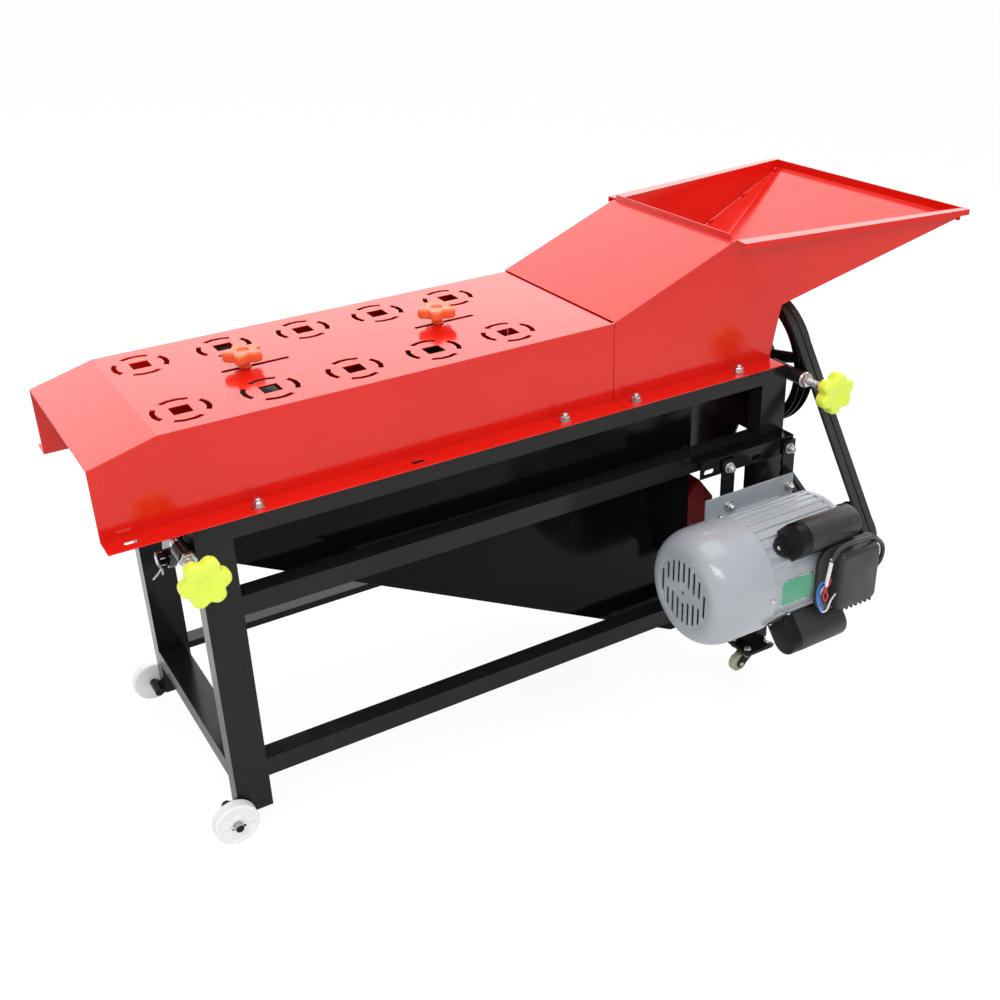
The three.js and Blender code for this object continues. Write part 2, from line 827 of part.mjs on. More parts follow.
function hopperFloor() {
  const inset = sheet + 2 * seat;
  const end = rimRightX - sheet;
  const endZ = rimRightZ - endDrop;
  const sideY = (x, z) => flareY(x, z) + inset;
  const corner = (side) => [end, side * -sideY(end, endZ), endZ];
  const elbow = (side) => [elbowX, side * (coverHalf - inset), elbowZ];
  const apex = [floorApexX, 0, floorApexZ];
  const throat = (side) => [throatX, side * (coverHalf - inset), throatZ];
  const corners = [apex, corner(-1), corner(1), elbow(-1), elbow(1), throat(-1), throat(1)];
  const trough = creased(
    corners,
    [[0, 1, 2], [0, 3, 1], [0, 2, 4], [0, 6, 5], [0, 5, 3], [0, 4, 6]],
    sheet,
  );
  const foot = endZ - rimLip;
  const side = (z) => sideY(end, z) + seat;
  const upstand = alongX([
    [side(foot), foot], [-side(foot), foot], [-side(rimRightZ), rimRightZ], [side(rimRightZ), rimRightZ],
  ], end - sheet, end);
  const along = (elbowX - floorApexX) / (end - floorApexX);
  const crease = (side) => corner(side).map((value, i) => apex[i] + along * (value - apex[i]));
  const reach = coverHalf - sheet - seat;
  const tail = plate([
    [wallEnd, -reach, flangeLow], [wallEnd, reach, flangeLow], [elbowX, reach, elbowZ - sheet / 2],
    ...[elbow(1), crease(1), crease(-1), elbow(-1)].map(([x, y, z]) => [x, y, z - sheet / 2]),
    [elbowX, -reach, elbowZ - sheet / 2],
  ], sheet);
  return join(trough, upstand, tail);
}

function hopperLid() {
  const rise = (rimLeftZ - coverTop) / (rimLeftX - seamX);
  const lift = sheet + 2 * seat;
  const width = coverHalf + sheet + seat;
  const topX = rimLeftX - lidFold;
  const topZ = coverTop + rise * (topX - seamX);
  const sheetPath = [
    [topX, topZ + lift + lidLip], [topX, topZ + lift], [seamX, coverTop + lift],
  ];
  const top = alongY(folded(sheetPath, sheet), -width, width);
  const fold = alongY([
    [seamX, coverTop + lift], [seamX, coverTop + lift - lidFold], [topX, topZ + lift - lidFold],
    [topX, topZ + lift],
  ].reverse(), -width, -width + sheet);
  const root = topZ + lift + seat;
  const notch = alongX([
    [-width - overrun, root], [-width + lidNotch[0], root], [-width + lidNotch[1], root + lidLip + overrun],
    [-width - overrun, root + lidLip + overrun],
  ], topX - overrun, topX + overrun);
  return cut(join(top, bothSides(fold)), bothSides(notch));
}

function buildSkins() {
  piece(deck, 'cover_sheet', coverSheet(), 'red');
  piece(deck, 'hopper_side_front', hopperSide(), 'red');
  piece(deck, 'hopper_side_back', mirrored(hopperSide()), 'red');
  piece(deck, 'hopper_floor', hopperFloor(), 'red');
  piece(deck, 'hopper_lid', hopperLid(), 'red');
}

// Rollers, gears and bearings

const barrelEnd = alongDeck(fromEnd.barrel);
const gearStart = frameLength - plateThick - gearInset;
const leftTail = bearingLong + shaftProud;

function roller(number) {
  const tail = number === 1 ? screwOffset + armThick / 2 + shaftProud / 2 : leftTail;
  const left = -tail;
  const right = number === driveRoller ? pulleyX + pulleyWide + pulleyShaftProud : frameLength + tail;
  return turnedX([
    [left, 0], [left, shaftRadius], [rollerStart, shaftRadius], [rollerStart, rollerRadius],
    [barrelEnd, rollerRadius], [barrelEnd, shaftRadius], [right, shaftRadius], [right, 0],
  ], sides.round);
}

function gear(number) {
  const pitchRadius = rollerPitch / 2;
  const root = pitchRadius - toothDeep;
  const tip = pitchRadius + toothTall;
  const step = (2 * Math.PI) / gearTeeth;
  const phase = number % 2 ? 0 : step / 2;
  const outline = Array.from({ length: gearTeeth }, (_, i) => {
    const centre = i * step + phase;
    const at = (radius, share) => [
      radius * Math.cos(centre + share * step), radius * Math.sin(centre + share * step),
    ];
    return [
      at(root, -rootShares[0]), at(tip, -rootShares[1]), at(tip, rootShares[1]), at(root, rootShares[0]),
    ];
  }).flat();
  const bore = circle(shaftRadius + shaftClear, [0, 0], sides.round);
  return alongX(outline, gearStart, gearStart + gearWide, [bore]);
}

function buildRollers() {
  for (let number = 1; number <= rollerCount; number += 1) {
    const place = [0, rollerY(number), rollerZ];
    piece(deck, `roller_${number}`, roller(number), number % 2 ? 'rubber' : 'steel', place);
    piece(deck, `roller_gear_${number}`, gear(number), 'steel', place);
  }
}

// Swing arms that carry the front roller, and the screws that set them

const screwX = { left: -screwOffset, right: frameLength + screwOffset };

function swingArm(side) {
  const x = screwX[side];
  const nose = [armNoseY, screwZ[side]];
  const outline = stringRound([
    ...circle(armEyePivot, [pivotY, pivotZ], sides.round),
    ...circle(armEyeShaft, [rollerY(1), rollerZ], sides.round),
    ...circle(armNose, nose, sides.round),
  ]);
  return alongX(outline, x - armThick / 2, x + armThick / 2, [
    circle(pivotRadius + shaftClear, [pivotY, pivotZ], sides.round),
    circle(shaftRadius + shaftClear, [rollerY(1), rollerZ], sides.round),
  ]).translate(0, -pivotY, -pivotZ);
}

function armPivot(side) {
  const toward = side === 'left' ? -1 : 1;
  const face = side === 'left' ? 0 : frameLength;
  const armOut = screwOffset + armThick / 2 + seat;
  const nutLong = side === 'left' ? pivotNut : pivotNutThin;
  const reach = side === 'left' ? pivotStud : armOut + nutLong + pivotTip;
  const span = (a, b) => [face + toward * a, face + toward * b].sort((p, q) => p - q);
  const collarEnd = screwOffset - armThick / 2 - seat;
  return join(
    alongX(circle(pivotRadius, [0, 0], sides.small), ...span(-weld, reach)),
    alongX(circle(pivotNut, [0, 0], sides.small), ...span(-weld, collarEnd)),
    alongX(circle(pivotNut, [0, 0], 6), ...span(armOut, armOut + nutLong)),
  ).translate(0, pivotY, pivotZ);
}

function tubeY(outer, inner, start, end) {
  return alongY(circle(outer, [0, 0], sides.round), start, end, [circle(inner, [0, 0], sides.round)]);
}

function screwKnob(side) {
  const tip = armNoseY - armNose - seat - padHigh - seat;
  const back = -half - knobOut[side];
  return join(
    alongY(circle(screwRadius, [0, 0], sides.small), back - knobHubLong, tip),
    alongY(circle(knobHub, [0, 0], sides.round), back - knobHubLong, back),
    alongY(lobed(knobRadius, knobLobe, 6, 36), back - knobThick, back - knobHubLong),
  );
}

function thrustPad() {
  const inner = armNoseY - armNose - seat;
  return alongY(circle(padRadius, [0, 0], sides.small), inner - padHigh, inner);
}

// A threaded boss welded to the end face of a leg, with the lock nut tight against it
function screwBoss(side) {
  const bore = screwRadius + shaftClear;
  const out = -half - bossOut[side];
  const face = side === 'left' ? 0 : frameLength;
  const toward = Math.sign(screwX[side] - face);
  const place = [screwX[side], 0, screwZ[side]];
  const boss = tubeY(bossRadius, bore, out, -half + bossIn).translate(...place);
  const nut = alongY(circle(lockNutFlat / Math.sqrt(3), [0, 0], 6), out - lockNutHigh, out + weld, [
    circle(bore, [0, 0], sides.round),
  ]).translate(...place);
  const xs = [face - toward * weld, face + toward * (screwOffset - bore - weld)].sort((p, q) => p - q);
  const bead = alongY(
    rectangle([xs[0], screwZ[side] - weldHalf], [xs[1], screwZ[side] + weldHalf]),
    -half + weld,
    -legInner - weld,
  );
  return [boss, nut, bead];
}

function buildAdjusters() {
  ['left', 'right'].forEach((side) => {
    const place = [screwX[side], 0, screwZ[side]];
    piece(deck, `swing_arm_${side}`, swingArm(side), 'black', [0, pivotY, pivotZ]);
    piece(deck, `thrust_pad_${side}`, thrustPad(), 'steel', place);
    piece(deck, `screw_knob_${side}`, screwKnob(side), 'yellow', place);
  });
}

// Rubber press curtains hung from knobs that slide in the cover slots

function pressCurtain() {
  const under = coverTop - sheet - seat;
  const holder = alongY(
    rectangle([-holderDeep / 2, under - holderHigh], [holderDeep / 2, under]),
    -curtainWide / 2,
    curtainWide / 2,
  );
  const flap = alongY(
    rectangle([-curtainThick / 2, curtainLow], [curtainThick / 2, under - holderHigh + weld]),
    -curtainWide / 2,
    curtainWide / 2,
  );
  const stud = alongZ(circle(studRadius, [0, 0], sides.tiny), under - weld, coverTop + studTop);
  return join(holder, flap, stud);
}

function slideKnob() {
  const base = coverTop + seat;
  const neckTop = base + slideKnobNeck;
  const whole = join(
    alongZ(circle(slideNeckRadius, [0, 0], sides.round), base, neckTop + weld),
    alongZ(lobed(slideKnobRadius - slideKnobLobe, slideKnobLobe, 6, 36), neckTop, neckTop + slideKnobThick),
  );
  const bore = circle(studRadius + shaftClear, [0, 0], sides.small);
  return cut(whole, alongZ(bore, base - overrun, neckTop + slideKnobThick + overrun));
}

function buildPressCurtains() {
  ['left', 'right'].forEach((side) => {
    const place = [curtainX[side], 0, 0];
    piece(deck, `press_curtain_${side}`, pressCurtain(), 'rubber', place);
    piece(deck, `slide_knob_${side}`, slideKnob(), 'orange', place);
  });
}

// Belt drive

const grooveXs = [0.27, 0.73].map((share) => pulleyX + share * pulleyWide);

function grooves(radius) {
  return grooveXs.map((x) => {
    const reach = beltWide / 2 + grooveClear;
    const deep = radius + beltProud - beltHigh - grooveClear;
    return turnedX([
      [x - reach, deep], [x - reach, radius + overrun], [x + reach, radius + overrun], [x + reach, deep],
      [x - reach, deep],
    ], sides.fine);
  });
}

function bigPulley() {
  const end = pulleyX + pulleyWide;
  const rimInner = bigPulleyRadius - rimThick;
  const rim = alongX(circle(bigPulleyRadius, [0, 0], sides.fine), pulleyX, end, [
    circle(rimInner, [0, 0], sides.fine),
  ]);
  const hub = alongX(circle(hubRadius, [0, 0], sides.round), pulleyX, end);
  const spokes = Array.from({ length: spokeCount }, (_, i) => alongX(
    rectangle([-rimInner - weld, -spokeWide / 2], [-hubRadius + 2 * weld, spokeWide / 2]),
    pulleyX + pulleyWide / 3,
    end - pulleyWide / 3,
  ).rotateX((i / spokeCount) * 2 * Math.PI - THREE.MathUtils.degToRad(spokeTurn)));
  const bore = alongX(
    circle(shaftRadius + shaftClear, [0, 0], sides.round),
    pulleyX - overrun,
    end + overrun,
  );
  return cut(join(rim, hub, spokes), grooves(bigPulleyRadius), bore);
}

function smallPulley() {
  const end = pulleyX + pulleyWide;
  const blank = alongX(circle(smallPulleyRadius, [0, 0], sides.fine), pulleyX, end);
  const bore = alongX(
    circle(motorShaft + shaftClear, [0, 0], sides.round),
    pulleyX - overrun,
    end + overrun,
  );
  return cut(blank, grooves(smallPulleyRadius), bore);
}

function belt(x) {
  const loop = (inset) => stringRound([
    ...circle(bigPulleyRadius + beltProud - inset, [rollerY(driveRoller), rollerZ], sides.fine * 2),
    ...circle(smallPulleyRadius + beltProud - inset, [motorY, motorZ], sides.fine * 2),
  ]);
  return alongX(loop(0), x - beltWide / 2, x + beltWide / 2, [loop(beltHigh - grooveClear)]);
}

function buildDrive() {
  piece(deck, 'drive_pulley', bigPulley(), 'black', [0, rollerY(driveRoller), rollerZ]);
  piece(deck, 'motor_pulley', smallPulley(), 'black', [0, motorY, motorZ]);
  piece(deck, 'drive_belt_inner', belt(grooveXs[0]), 'rubber');
  piece(deck, 'drive_belt_outer', belt(grooveXs[1]), 'rubber');
}

// Motor, drawn round its own axis

const motor = new THREE.Group();
motor.position.set(frameLength, motorY, motorZ);
deck.add(motor);

function motorBody() {
  const outline = Array.from({ length: finCount }, (_, i) => {
    const at = (radius, share) => {
      const angle = ((i + share) / finCount) * 2 * Math.PI;
      return [radius * Math.cos(angle), radius * Math.sin(angle)];
    };
    return [
      at(bodyRadius, 0), at(bodyRadius, finShares[0]),
      at(bodyRadius + finHigh, finShares[1]), at(bodyRadius + finHigh, finShares[2]),
    ];
  }).flat();
  const finned = alongX(outline, bodyStart, bodyEnd, [circle(boreRadius, [0, 0], sides.fine)]);
  const hole = motorShaft + shaftClear;
  const spigot = coverRadius - sheet - seat;
  const fanEnd = turnedX([
    [bodyStart - shieldThick, hole], [bodyStart + weld, hole], [bodyStart + weld, spigot],
    [bodyStart - shieldThick, spigot], [bodyStart - shieldThick, hole],
  ], sides.fine);
  const driveEnd = turnedX([
    [bodyEnd - weld, hole], [bellEnd, hole], [bellEnd, bellRadius],
    [bellEnd - shieldThick, bellRadius + shieldThick],
    [bodyEnd + shieldThick * 2, bodyRadius - finHigh], [bodyEnd + shieldThick, bodyRadius + finHigh],
    [bodyEnd - weld, bodyRadius + finHigh], [bodyEnd - weld, hole],
  ], sides.fine);
  const seatForFoot = alongY(
    rectangle([footStart - seat, -footHalf - seat], [footEnd + overrun, footHalf + seat]),
    footDistance - seat,
    coverRadius + overrun,
  );
  return cut(join(finned, fanEnd, driveEnd), seatForFoot);
}

function fanCover() {
  const dome = (inset) => {
    const steps = 5;
    const reachX = domeStart - coverFront;
    const reachR = coverRadius - coverDisc;
    return Array.from({ length: steps + 1 }, (_, i) => {
      const angle = (i / steps) * Math.PI / 2;
      return [domeStart - (reachX - inset) * Math.sin(angle), coverDisc + (reachR - inset) * Math.cos(angle)];
    });
  };
  const shell = turnedX([
    [coverBack, coverRadius], ...dome(0), [coverFront, 0], [coverFront + sheet, 0],
    ...dome(sheet).reverse(), [coverBack, coverRadius - sheet], [coverBack, coverRadius],
  ], sides.fine);
  const slot = (across, low, high) => {
    const lying = obround([(low + high) / 2, across], high - low, slotWide, sides.tiny);
    const outline = lying.map(([a, b]) => [b, a]).reverse();
    return alongX(outline, coverFront - overrun, coverFront + overrun);
  };
  const columns = Array.from({ length: 2 * slotColumns + 1 }, (_, i) => i - slotColumns);
  const slots = columns.flatMap((column) => {
    const across = column * slotPitch;
    const reach = Math.sqrt(slotReach ** 2 - across ** 2);
    const inner = Math.max(slotHalf, Math.sqrt(Math.max(slotHub ** 2 - across ** 2, 0)));
    if (Math.abs(column) === slotColumns) return [slot(across, -reach, reach)];
    return [slot(across, -reach, -inner), slot(across, inner, reach)];
  });
  const hole = alongX(circle(fanCoverHole, [0, 0], sides.tiny), coverFront - overrun, coverFront + overrun);
  return cut(shell, slots, hole);
}

function motorRotor() {
  const end = pulleyX - frameLength + pulleyWide + shaftProud;
  const shaft = turnedX([
    [fanX - fanDeep / 2, 0], [fanX - fanDeep / 2, motorShaft], [bodyStart + rotorInset, motorShaft],
    [bodyStart + rotorInset, rotorRadius], [bodyEnd - rotorInset, rotorRadius],
    [bodyEnd - rotorInset, motorShaft],
    [end, motorShaft], [end, 0],
  ], sides.round);
  const disc = alongX(circle(fanRadius, [0, 0], sides.round), fanX, fanX + fanDisc);
  const blades = Array.from({ length: fanBlades }, (_, i) => alongX(
    rectangle([motorShaft - fanRoot, -fanBlade], [fanRadius, fanBlade]),
    fanX,
    fanX + fanDeep,
  ).rotateX((i / fanBlades) * 2 * Math.PI));
  return join(shaft, disc, blades);
}

function motorFoot() {
  const face = footDistance;
  const holes = footBoltX.flatMap((x) => [-1, 1].map((side) => alongY(
    circle(boltRadius + seat, [x, side * footHole], sides.tiny),
    face - overrun,
    face + footThick + overrun,
  )));
  const base = cut(
    alongY(rectangle([footStart, -footHalf], [footEnd, footHalf]), face, face + footThick),
    holes,
  );
  const rootY = Math.sqrt((bodyRadius + finHigh) ** 2 - (footWebZ - footWeb) ** 2) + seat;
  const web = (side) => alongY(
    rectangle([footStart, side * footWebZ - footWeb / 2], [bodyEnd, side * footWebZ + footWeb / 2]),
    rootY,
    face + weld,
  );
  return join(base, web(-1), web(1));
}

function capacitor(side) {
  const top = circle(capRadius, [0, 0], sides.round);
  const baseReach = capOut - bodyRadius - finHigh - seat;
  const outline = stringRound([...top, [-capRadius, -baseReach], [capRadius, -baseReach]]);
  return alongX(outline, capStart, capStart + capLong)
    .translate(0, 0, capOut)
    .rotateX(THREE.MathUtils.degToRad(side > 0 ? capAngle : 180 - capAngle));
}

function roundedBox(left, wide, high, corner, back, deep) {
  const corners = [-1, 1].flatMap((a) => [-1, 1].flatMap((b) => circle(
    corner,
    [left + wide / 2 + a * (wide / 2 - corner), boxZ + b * (high / 2 - corner)],
    sides.round,
  )));
  return alongY(stringRound(corners), back - deep, back);
}

function terminalBox() {
  const face = -(bodyRadius + finHigh + seat);
  return join(
    roundedBox(boxBaseX, boxBaseWide, boxBaseHigh, boxBaseCorner, face, boxBaseDeep),
    roundedBox(boxX, boxWide, boxHigh, boxCorner, face, boxDeep),
  );
}

function cableTube(points, radius, steps, count) {
  const route = new THREE.CatmullRomCurve3(points.map((point) => new THREE.Vector3(...point)));
  return new THREE.ExtrudeGeometry(shapeOf(circle(radius, [0, 0], count)), {
    steps, extrudePath: route, bevelEnabled: false,
  });
}

function motorCable() {
  const lead = cableTube(leadRoute, cableRadius, 40, 8);
  const wires = wireRoutes.map((route) => cableTube(route, wireRadius, 10, 6));
  return join(lead, wires);
}

function buildMotor() {
  piece(motor, 'motor_body', motorBody(), 'motorGrey');
  piece(motor, 'fan_cover', fanCover(), 'motorGrey');
  piece(motor, 'motor_rotor', motorRotor(), 'steel');
  piece(motor, 'motor_foot', motorFoot(), 'motorGrey');
  piece(motor, 'capacitor_upper', capacitor(1), 'plastic');
  piece(motor, 'capacitor_lower', capacitor(-1), 'plastic');
  piece(motor, 'terminal_box', terminalBox(), 'plastic');
  piece(motor, 'motor_cable', motorCable(), 'rubber');
}

// Hanger that holds the motor foot to the frame, and all bolts

const strapXs = footBoltX.map((x) => frameLength + x);

function hangerBracket() {
  const bracket = alongX([
    [hangerFace, midRailTop], [hangerFace, midRailTop - angleWide],
    [hangerFace + angleWall, midRailTop - angleWide], [hangerFace + angleWall, midRailTop - angleWall],
    [-half - seat, midRailTop - angleWall], [-half - seat, midRailTop],
  ], hangerLeft, hangerRight);
  const through = (outline) => alongY(outline, hangerFace - overrun, hangerFace + angleWall + overrun);
  return cut(
    bracket,
    hangerSlotX.map((x) => through(obround([x, hangerBoltZ], hangerSlotLong, boltSlotWide, sides.tiny))),
    strapXs.map((x) => through(circle(boltRadius + seat, [x, hangerBoltZ], sides.tiny))),
  );
}

// A flat strap with its bolts: one through the bracket and two through the motor foot
function hangerStrap(x) {
  const strap = alongY(
    rectangle([x - strapWide / 2, strapLow], [x + strapWide / 2, strapHigh]),
    strapFace,
    strapFace + strapThick,
  );
  const clamp = (z, back, front) => {
    const rod = (radius, count, from, to) => alongY(circle(radius, [x, z], count), from, to);
    return [
      rod(boltRadius, sides.tiny, front - nutHigh - boltTail, back + nutHigh),
      rod(boltHead, 6, front - washerThick - nutHigh, front - washerThick),
      rod(washerRadius, sides.small, front - washerThick, front - seat),
      rod(boltHead, 6, back + seat, back + nutHigh),
    ];
  };
  const footFace = motorY + footDistance;
  return join(
    strap,
    clamp(hangerBoltZ, hangerFace + angleWall, strapFace),
    clamp(motorZ + footHole, strapFace + strapThick, footFace),
    clamp(motorZ - footHole, strapFace + strapThick, footFace),
  );
}

function buildHanger() {
  piece(deck, 'hanger_bracket', hangerBracket(), 'black');
  piece(deck, 'hanger_strap_left', hangerStrap(strapXs[0]), 'black');
  piece(deck, 'hanger_strap_right', hangerStrap(strapXs[1]), 'black');
}

// Wheels and casters

function axle() {
  const tip = -half - wheelGap - wheelWide - axleTip;
  return join(
    alongY(circle(axleRadius, [0, 0], sides.small), tip, -legInner),
    alongY(circle(axleBoss, [0, 0], sides.small), -half - wheelGap + seat, -legInner),
    alongX(circle(pinRadius, [tip + axleTip / 2, 0], sides.tiny), -axleBoss, axleBoss),
    alongY(rectangle([0, -weldHalf], [weld - axleX, weldHalf]), -half + weld, -legInner - weld),
  ).translate(axleX, 0, wheelZ);
}

function wheel() {
  const inner = -half - wheelGap;
  const outer = inner - wheelWide;
  const hub = wheelWide / 2;
  const web = wheelWide / 10;
  const rim = wheelRadius - wheelTread;
  const shoulder = wheelRadius - wheelRound;
  const bore = axleRadius + shaftClear;
  return turned([
    [outer, bore], [outer, hub + wheelRound], [outer + web, hub + wheelRound], [outer + web, rim],
    [outer, rim], [outer, shoulder], [outer + wheelRound, wheelRadius],
    [inner - wheelRound, wheelRadius], [inner, shoulder], [inner, bore], [outer, bore],
  ], sides.fine);
}

function casterBase(side) {
  const top = rightFoot - seat;
  const low = top - casterPlateThick;
  const place = [casterX, side * casterY];
  const base = alongZ(
    rectangle(
      [place[0] - casterPlate[0] / 2, place[1] - casterPlate[1] / 2],
      [place[0] + casterPlate[0] / 2, place[1] + casterPlate[1] / 2],
    ),
    low,
    top,
  );
  const race = alongZ(circle(casterRace, place, sides.round), low - casterRaceHigh, low + weld);
  const legPlate = rightFoot + casterPlateThick;
  const shanks = [-1, 1].flatMap((a) => [-1, 1].flatMap((b) => {
    const at = [place[0] + a * casterBolt[0], place[1] + b * casterBolt[1]];
    return [
      alongZ(circle(boltRadius, at, sides.tiny), low - nutHigh, legPlate + nutHigh),
      alongZ(circle(boltHead, at, 6), low - boltRadius, low + weld),
      alongZ(circle(boltHead, at, 6), legPlate + seat, legPlate + nutHigh - washerless),
    ];
  }));
  return join(base, race, shanks);
}

const raceLow = rightFoot - seat - casterPlateThick - casterRaceHigh;

function casterFork() {
  const crownTop = raceLow - seat;
  const inside = casterWheelWide / 2 + forkGap;
  const outside = inside + forkThick;
  const axleZ = rightFoot - casterDrop;
  const crown = alongZ(circle(casterRace, [0, 0], sides.round), crownTop - forkThick, crownTop);
  const legOutline = stringRound([
    [-forkWide, crownTop - forkThick / 2], [casterRace / 2, crownTop - forkThick / 2],
    ...circle(casterAxle * 2, [-casterTrail, axleZ], sides.small),
  ]);
  const legs = [-1, 1].map((side) => alongY(
    legOutline,
    Math.min(side * inside, side * outside),
    Math.max(side * inside, side * outside),
  ));
  const pin = alongY(
    circle(casterAxle, [-casterTrail, axleZ], sides.tiny),
    -outside - casterPinProud,
    outside + casterPinProud,
  );
  return join(crown, legs, pin);
}

function casterWheel() {
  const reach = casterWheelWide / 2;
  const bore = casterAxle + shaftClear;
  const flat = reach - casterWheelRound;
  const shoulder = casterWheelRadius - casterWheelRound;
  return turned([
    [-reach, bore], [-reach, shoulder], [-flat, casterWheelRadius],
    [flat, casterWheelRadius], [reach, shoulder], [reach, bore], [-reach, bore],
  ], sides.round);
}

function buildWheels() {
  piece(deck, 'wheel_front', wheel(), 'nylon', [axleX, 0, wheelZ]);
  piece(deck, 'wheel_back', wheel().rotateZ(Math.PI), 'nylon', [axleX, 0, wheelZ]);
  [['front', -1], ['back', 1]].forEach(([where, side]) => {
    piece(deck, `caster_plate_${where}`, casterBase(side), 'black');
    piece(deck, `caster_fork_${where}`, casterFork(), 'black', [casterX, side * casterY, 0]);
    piece(deck, `caster_wheel_${where}`, casterWheel(), 'cream', [
      casterX - casterTrail, side * casterY, rightFoot - casterDrop,
    ]);
  });
}

buildFrame();
buildPanels();
buildSkins();
buildRollers();
buildAdjusters();
buildPressCurtains();
buildDrive();
buildMotor();
buildHanger();
buildWheels();

// Stand the machine on its four wheels: the line that touches both wheel circles becomes level

const wheelRun = casterX - casterTrail - axleX;
const wheelDrop = rightFoot - casterDrop - wheelZ;
const tilt = Math.asin((casterWheelRadius - wheelRadius) / Math.hypot(wheelRun, wheelDrop))
  - Math.atan2(wheelDrop, wheelRun);
deck.rotation.y = -tilt;

const husker = new THREE.Group();
husker.add(deck);
husker.updateMatrixWorld(true);
const box = new THREE.Box3().setFromObject(husker, true);
deck.position.set(
  -(box.min.x + box.max.x) / 2,
  -(box.min.y + box.max.y) / 2,
  -box.min.z,
);
husker.updateMatrixWorld(true);

export default husker;
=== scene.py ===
import json
import math
import bmesh
import bpy
import numpy as np
from mathutils import Matrix, Vector

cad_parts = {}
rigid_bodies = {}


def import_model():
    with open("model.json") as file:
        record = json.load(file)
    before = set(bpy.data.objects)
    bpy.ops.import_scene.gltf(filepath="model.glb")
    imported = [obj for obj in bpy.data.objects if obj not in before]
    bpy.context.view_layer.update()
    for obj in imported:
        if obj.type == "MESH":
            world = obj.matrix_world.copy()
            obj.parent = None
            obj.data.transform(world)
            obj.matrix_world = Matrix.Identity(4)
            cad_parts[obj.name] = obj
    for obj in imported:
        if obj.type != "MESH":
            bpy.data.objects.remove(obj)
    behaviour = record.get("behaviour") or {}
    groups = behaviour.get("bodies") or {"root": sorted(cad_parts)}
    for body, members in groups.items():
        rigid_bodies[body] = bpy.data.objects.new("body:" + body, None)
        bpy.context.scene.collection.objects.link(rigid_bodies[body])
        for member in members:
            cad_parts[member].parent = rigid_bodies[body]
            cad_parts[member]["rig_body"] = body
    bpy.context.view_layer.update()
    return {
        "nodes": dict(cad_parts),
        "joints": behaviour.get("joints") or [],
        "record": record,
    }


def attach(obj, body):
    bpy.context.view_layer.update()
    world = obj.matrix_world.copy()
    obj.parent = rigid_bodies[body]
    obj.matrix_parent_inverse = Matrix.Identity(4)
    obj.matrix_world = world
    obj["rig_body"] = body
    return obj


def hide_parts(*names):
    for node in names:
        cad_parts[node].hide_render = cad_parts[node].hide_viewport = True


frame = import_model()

nodes = frame["nodes"]
record = frame["record"]

# The deck frame: millimetres, x along the deck, z square to it. The roller axis in the record says how
# the deck lies in the world, so every piece below is worked out on a level deck and then placed.
rollerSpot = (490.0, -69.0, 466.0)
rollerJoint = next(j for j in frame["joints"] if j["name"] == "roller_2_spin")
rollerAxis = np.array(rollerJoint["axis"])
deckX = rollerAxis / np.linalg.norm(rollerAxis)
deckY = np.array([0.0, 1.0, 0.0])
turn = np.stack([deckX, deckY, np.cross(deckX, deckY)], axis=1)
origin = np.array(rollerJoint["pos_m"]) - turn @ (np.array(rollerSpot) / 1000)


# Deck millimetres to world metres.
def place(points):
    return (np.asarray(points, float) / 1000) @ turn.T + origin


def newObject(name, data):
    thing = bpy.data.objects.new(name, data)
    bpy.context.scene.collection.objects.link(thing)
    return thing


# Camera, light and floor

view = dict(
    focal=1247.12, yaw=29.5373, pitch=27.8293, roll=-2.1438, eye=(-337.951, -1568.725, 1249.194),
    photoWide=1000, sensor=36, clipEnd=200,
)


def makeCamera():
    yaw, pitch, roll = (math.radians(view[k]) for k in ("yaw", "pitch", "roll"))
    ahead = np.array([math.sin(yaw) * math.cos(pitch), math.cos(yaw) * math.cos(pitch), -math.sin(pitch)])
    right = np.array([math.cos(yaw), -math.sin(yaw), 0.0])
    up = np.cross(right, ahead)
    rightRolled = math.cos(roll) * right + math.sin(roll) * up
    upRolled = -math.sin(roll) * right + math.cos(roll) * up
    axes = turn @ np.stack([rightRolled, upRolled, -ahead], axis=1)
    data = bpy.data.cameras.new("photoView")
    data.sensor_width = view["sensor"]
    data.lens = view["focal"] / view["photoWide"] * view["sensor"]
    data.clip_end = view["clipEnd"]
    camera = newObject("photoView", data)
    camera.matrix_world = Matrix.Translation(Vector(place(view["eye"]))) @ Matrix(axes.tolist()).to_4x4()
    bpy.context.scene.camera = camera


studio = dict(
    world=0.62, worldTone=(1, 0.985, 0.97), floorReach=60.0, floorTone=(0.93, 0.93, 0.93), floorGlow=1.06,
    glowShare=0.86,
)
# Area lights are (place, aim, size, power) in metres and watts.
lights = dict(
    keyA=((-1.6, -2.6, 2.7), (0, 0, 0.4), (2.2, 0.16), 14),
    keyB=((-1.6, -2.2, 2.9), (0, 0, 0.4), (2.2, 0.16), 14),
    keyC=((-1.6, -1.8, 3.1), (0, 0, 0.4), (2.2, 0.16), 14),
    fill=((3.0, -0.2, 2.4), (0, 0, 0.4), (1.8, 1.8), 18),
    rim=((1.2, 3.0, 2.3), (0, 0, 0.5), (7.0, 3.4), 116),
    top=((0.1, 0.1, 3.3), (0.1, 0, 0.4), (3.0, 2.0), 34),
)


def areaLight(name, where, aim, size, power):
    data = bpy.data.lights.new(name, "AREA")
    data.shape = "RECTANGLE"
    data.size, data.size_y = size
    data.energy = power
    light = newObject(name, data)
    light.location = where
    light.rotation_euler = (Vector(aim) - Vector(where)).to_track_quat("-Z", "Y").to_euler()


# The emptied node tree of a world or a material, and its output node.
def bareTree(owner, output):
    owner.use_nodes = True
    owner.node_tree.nodes.clear()
    return owner.node_tree, owner.node_tree.nodes.new(output)


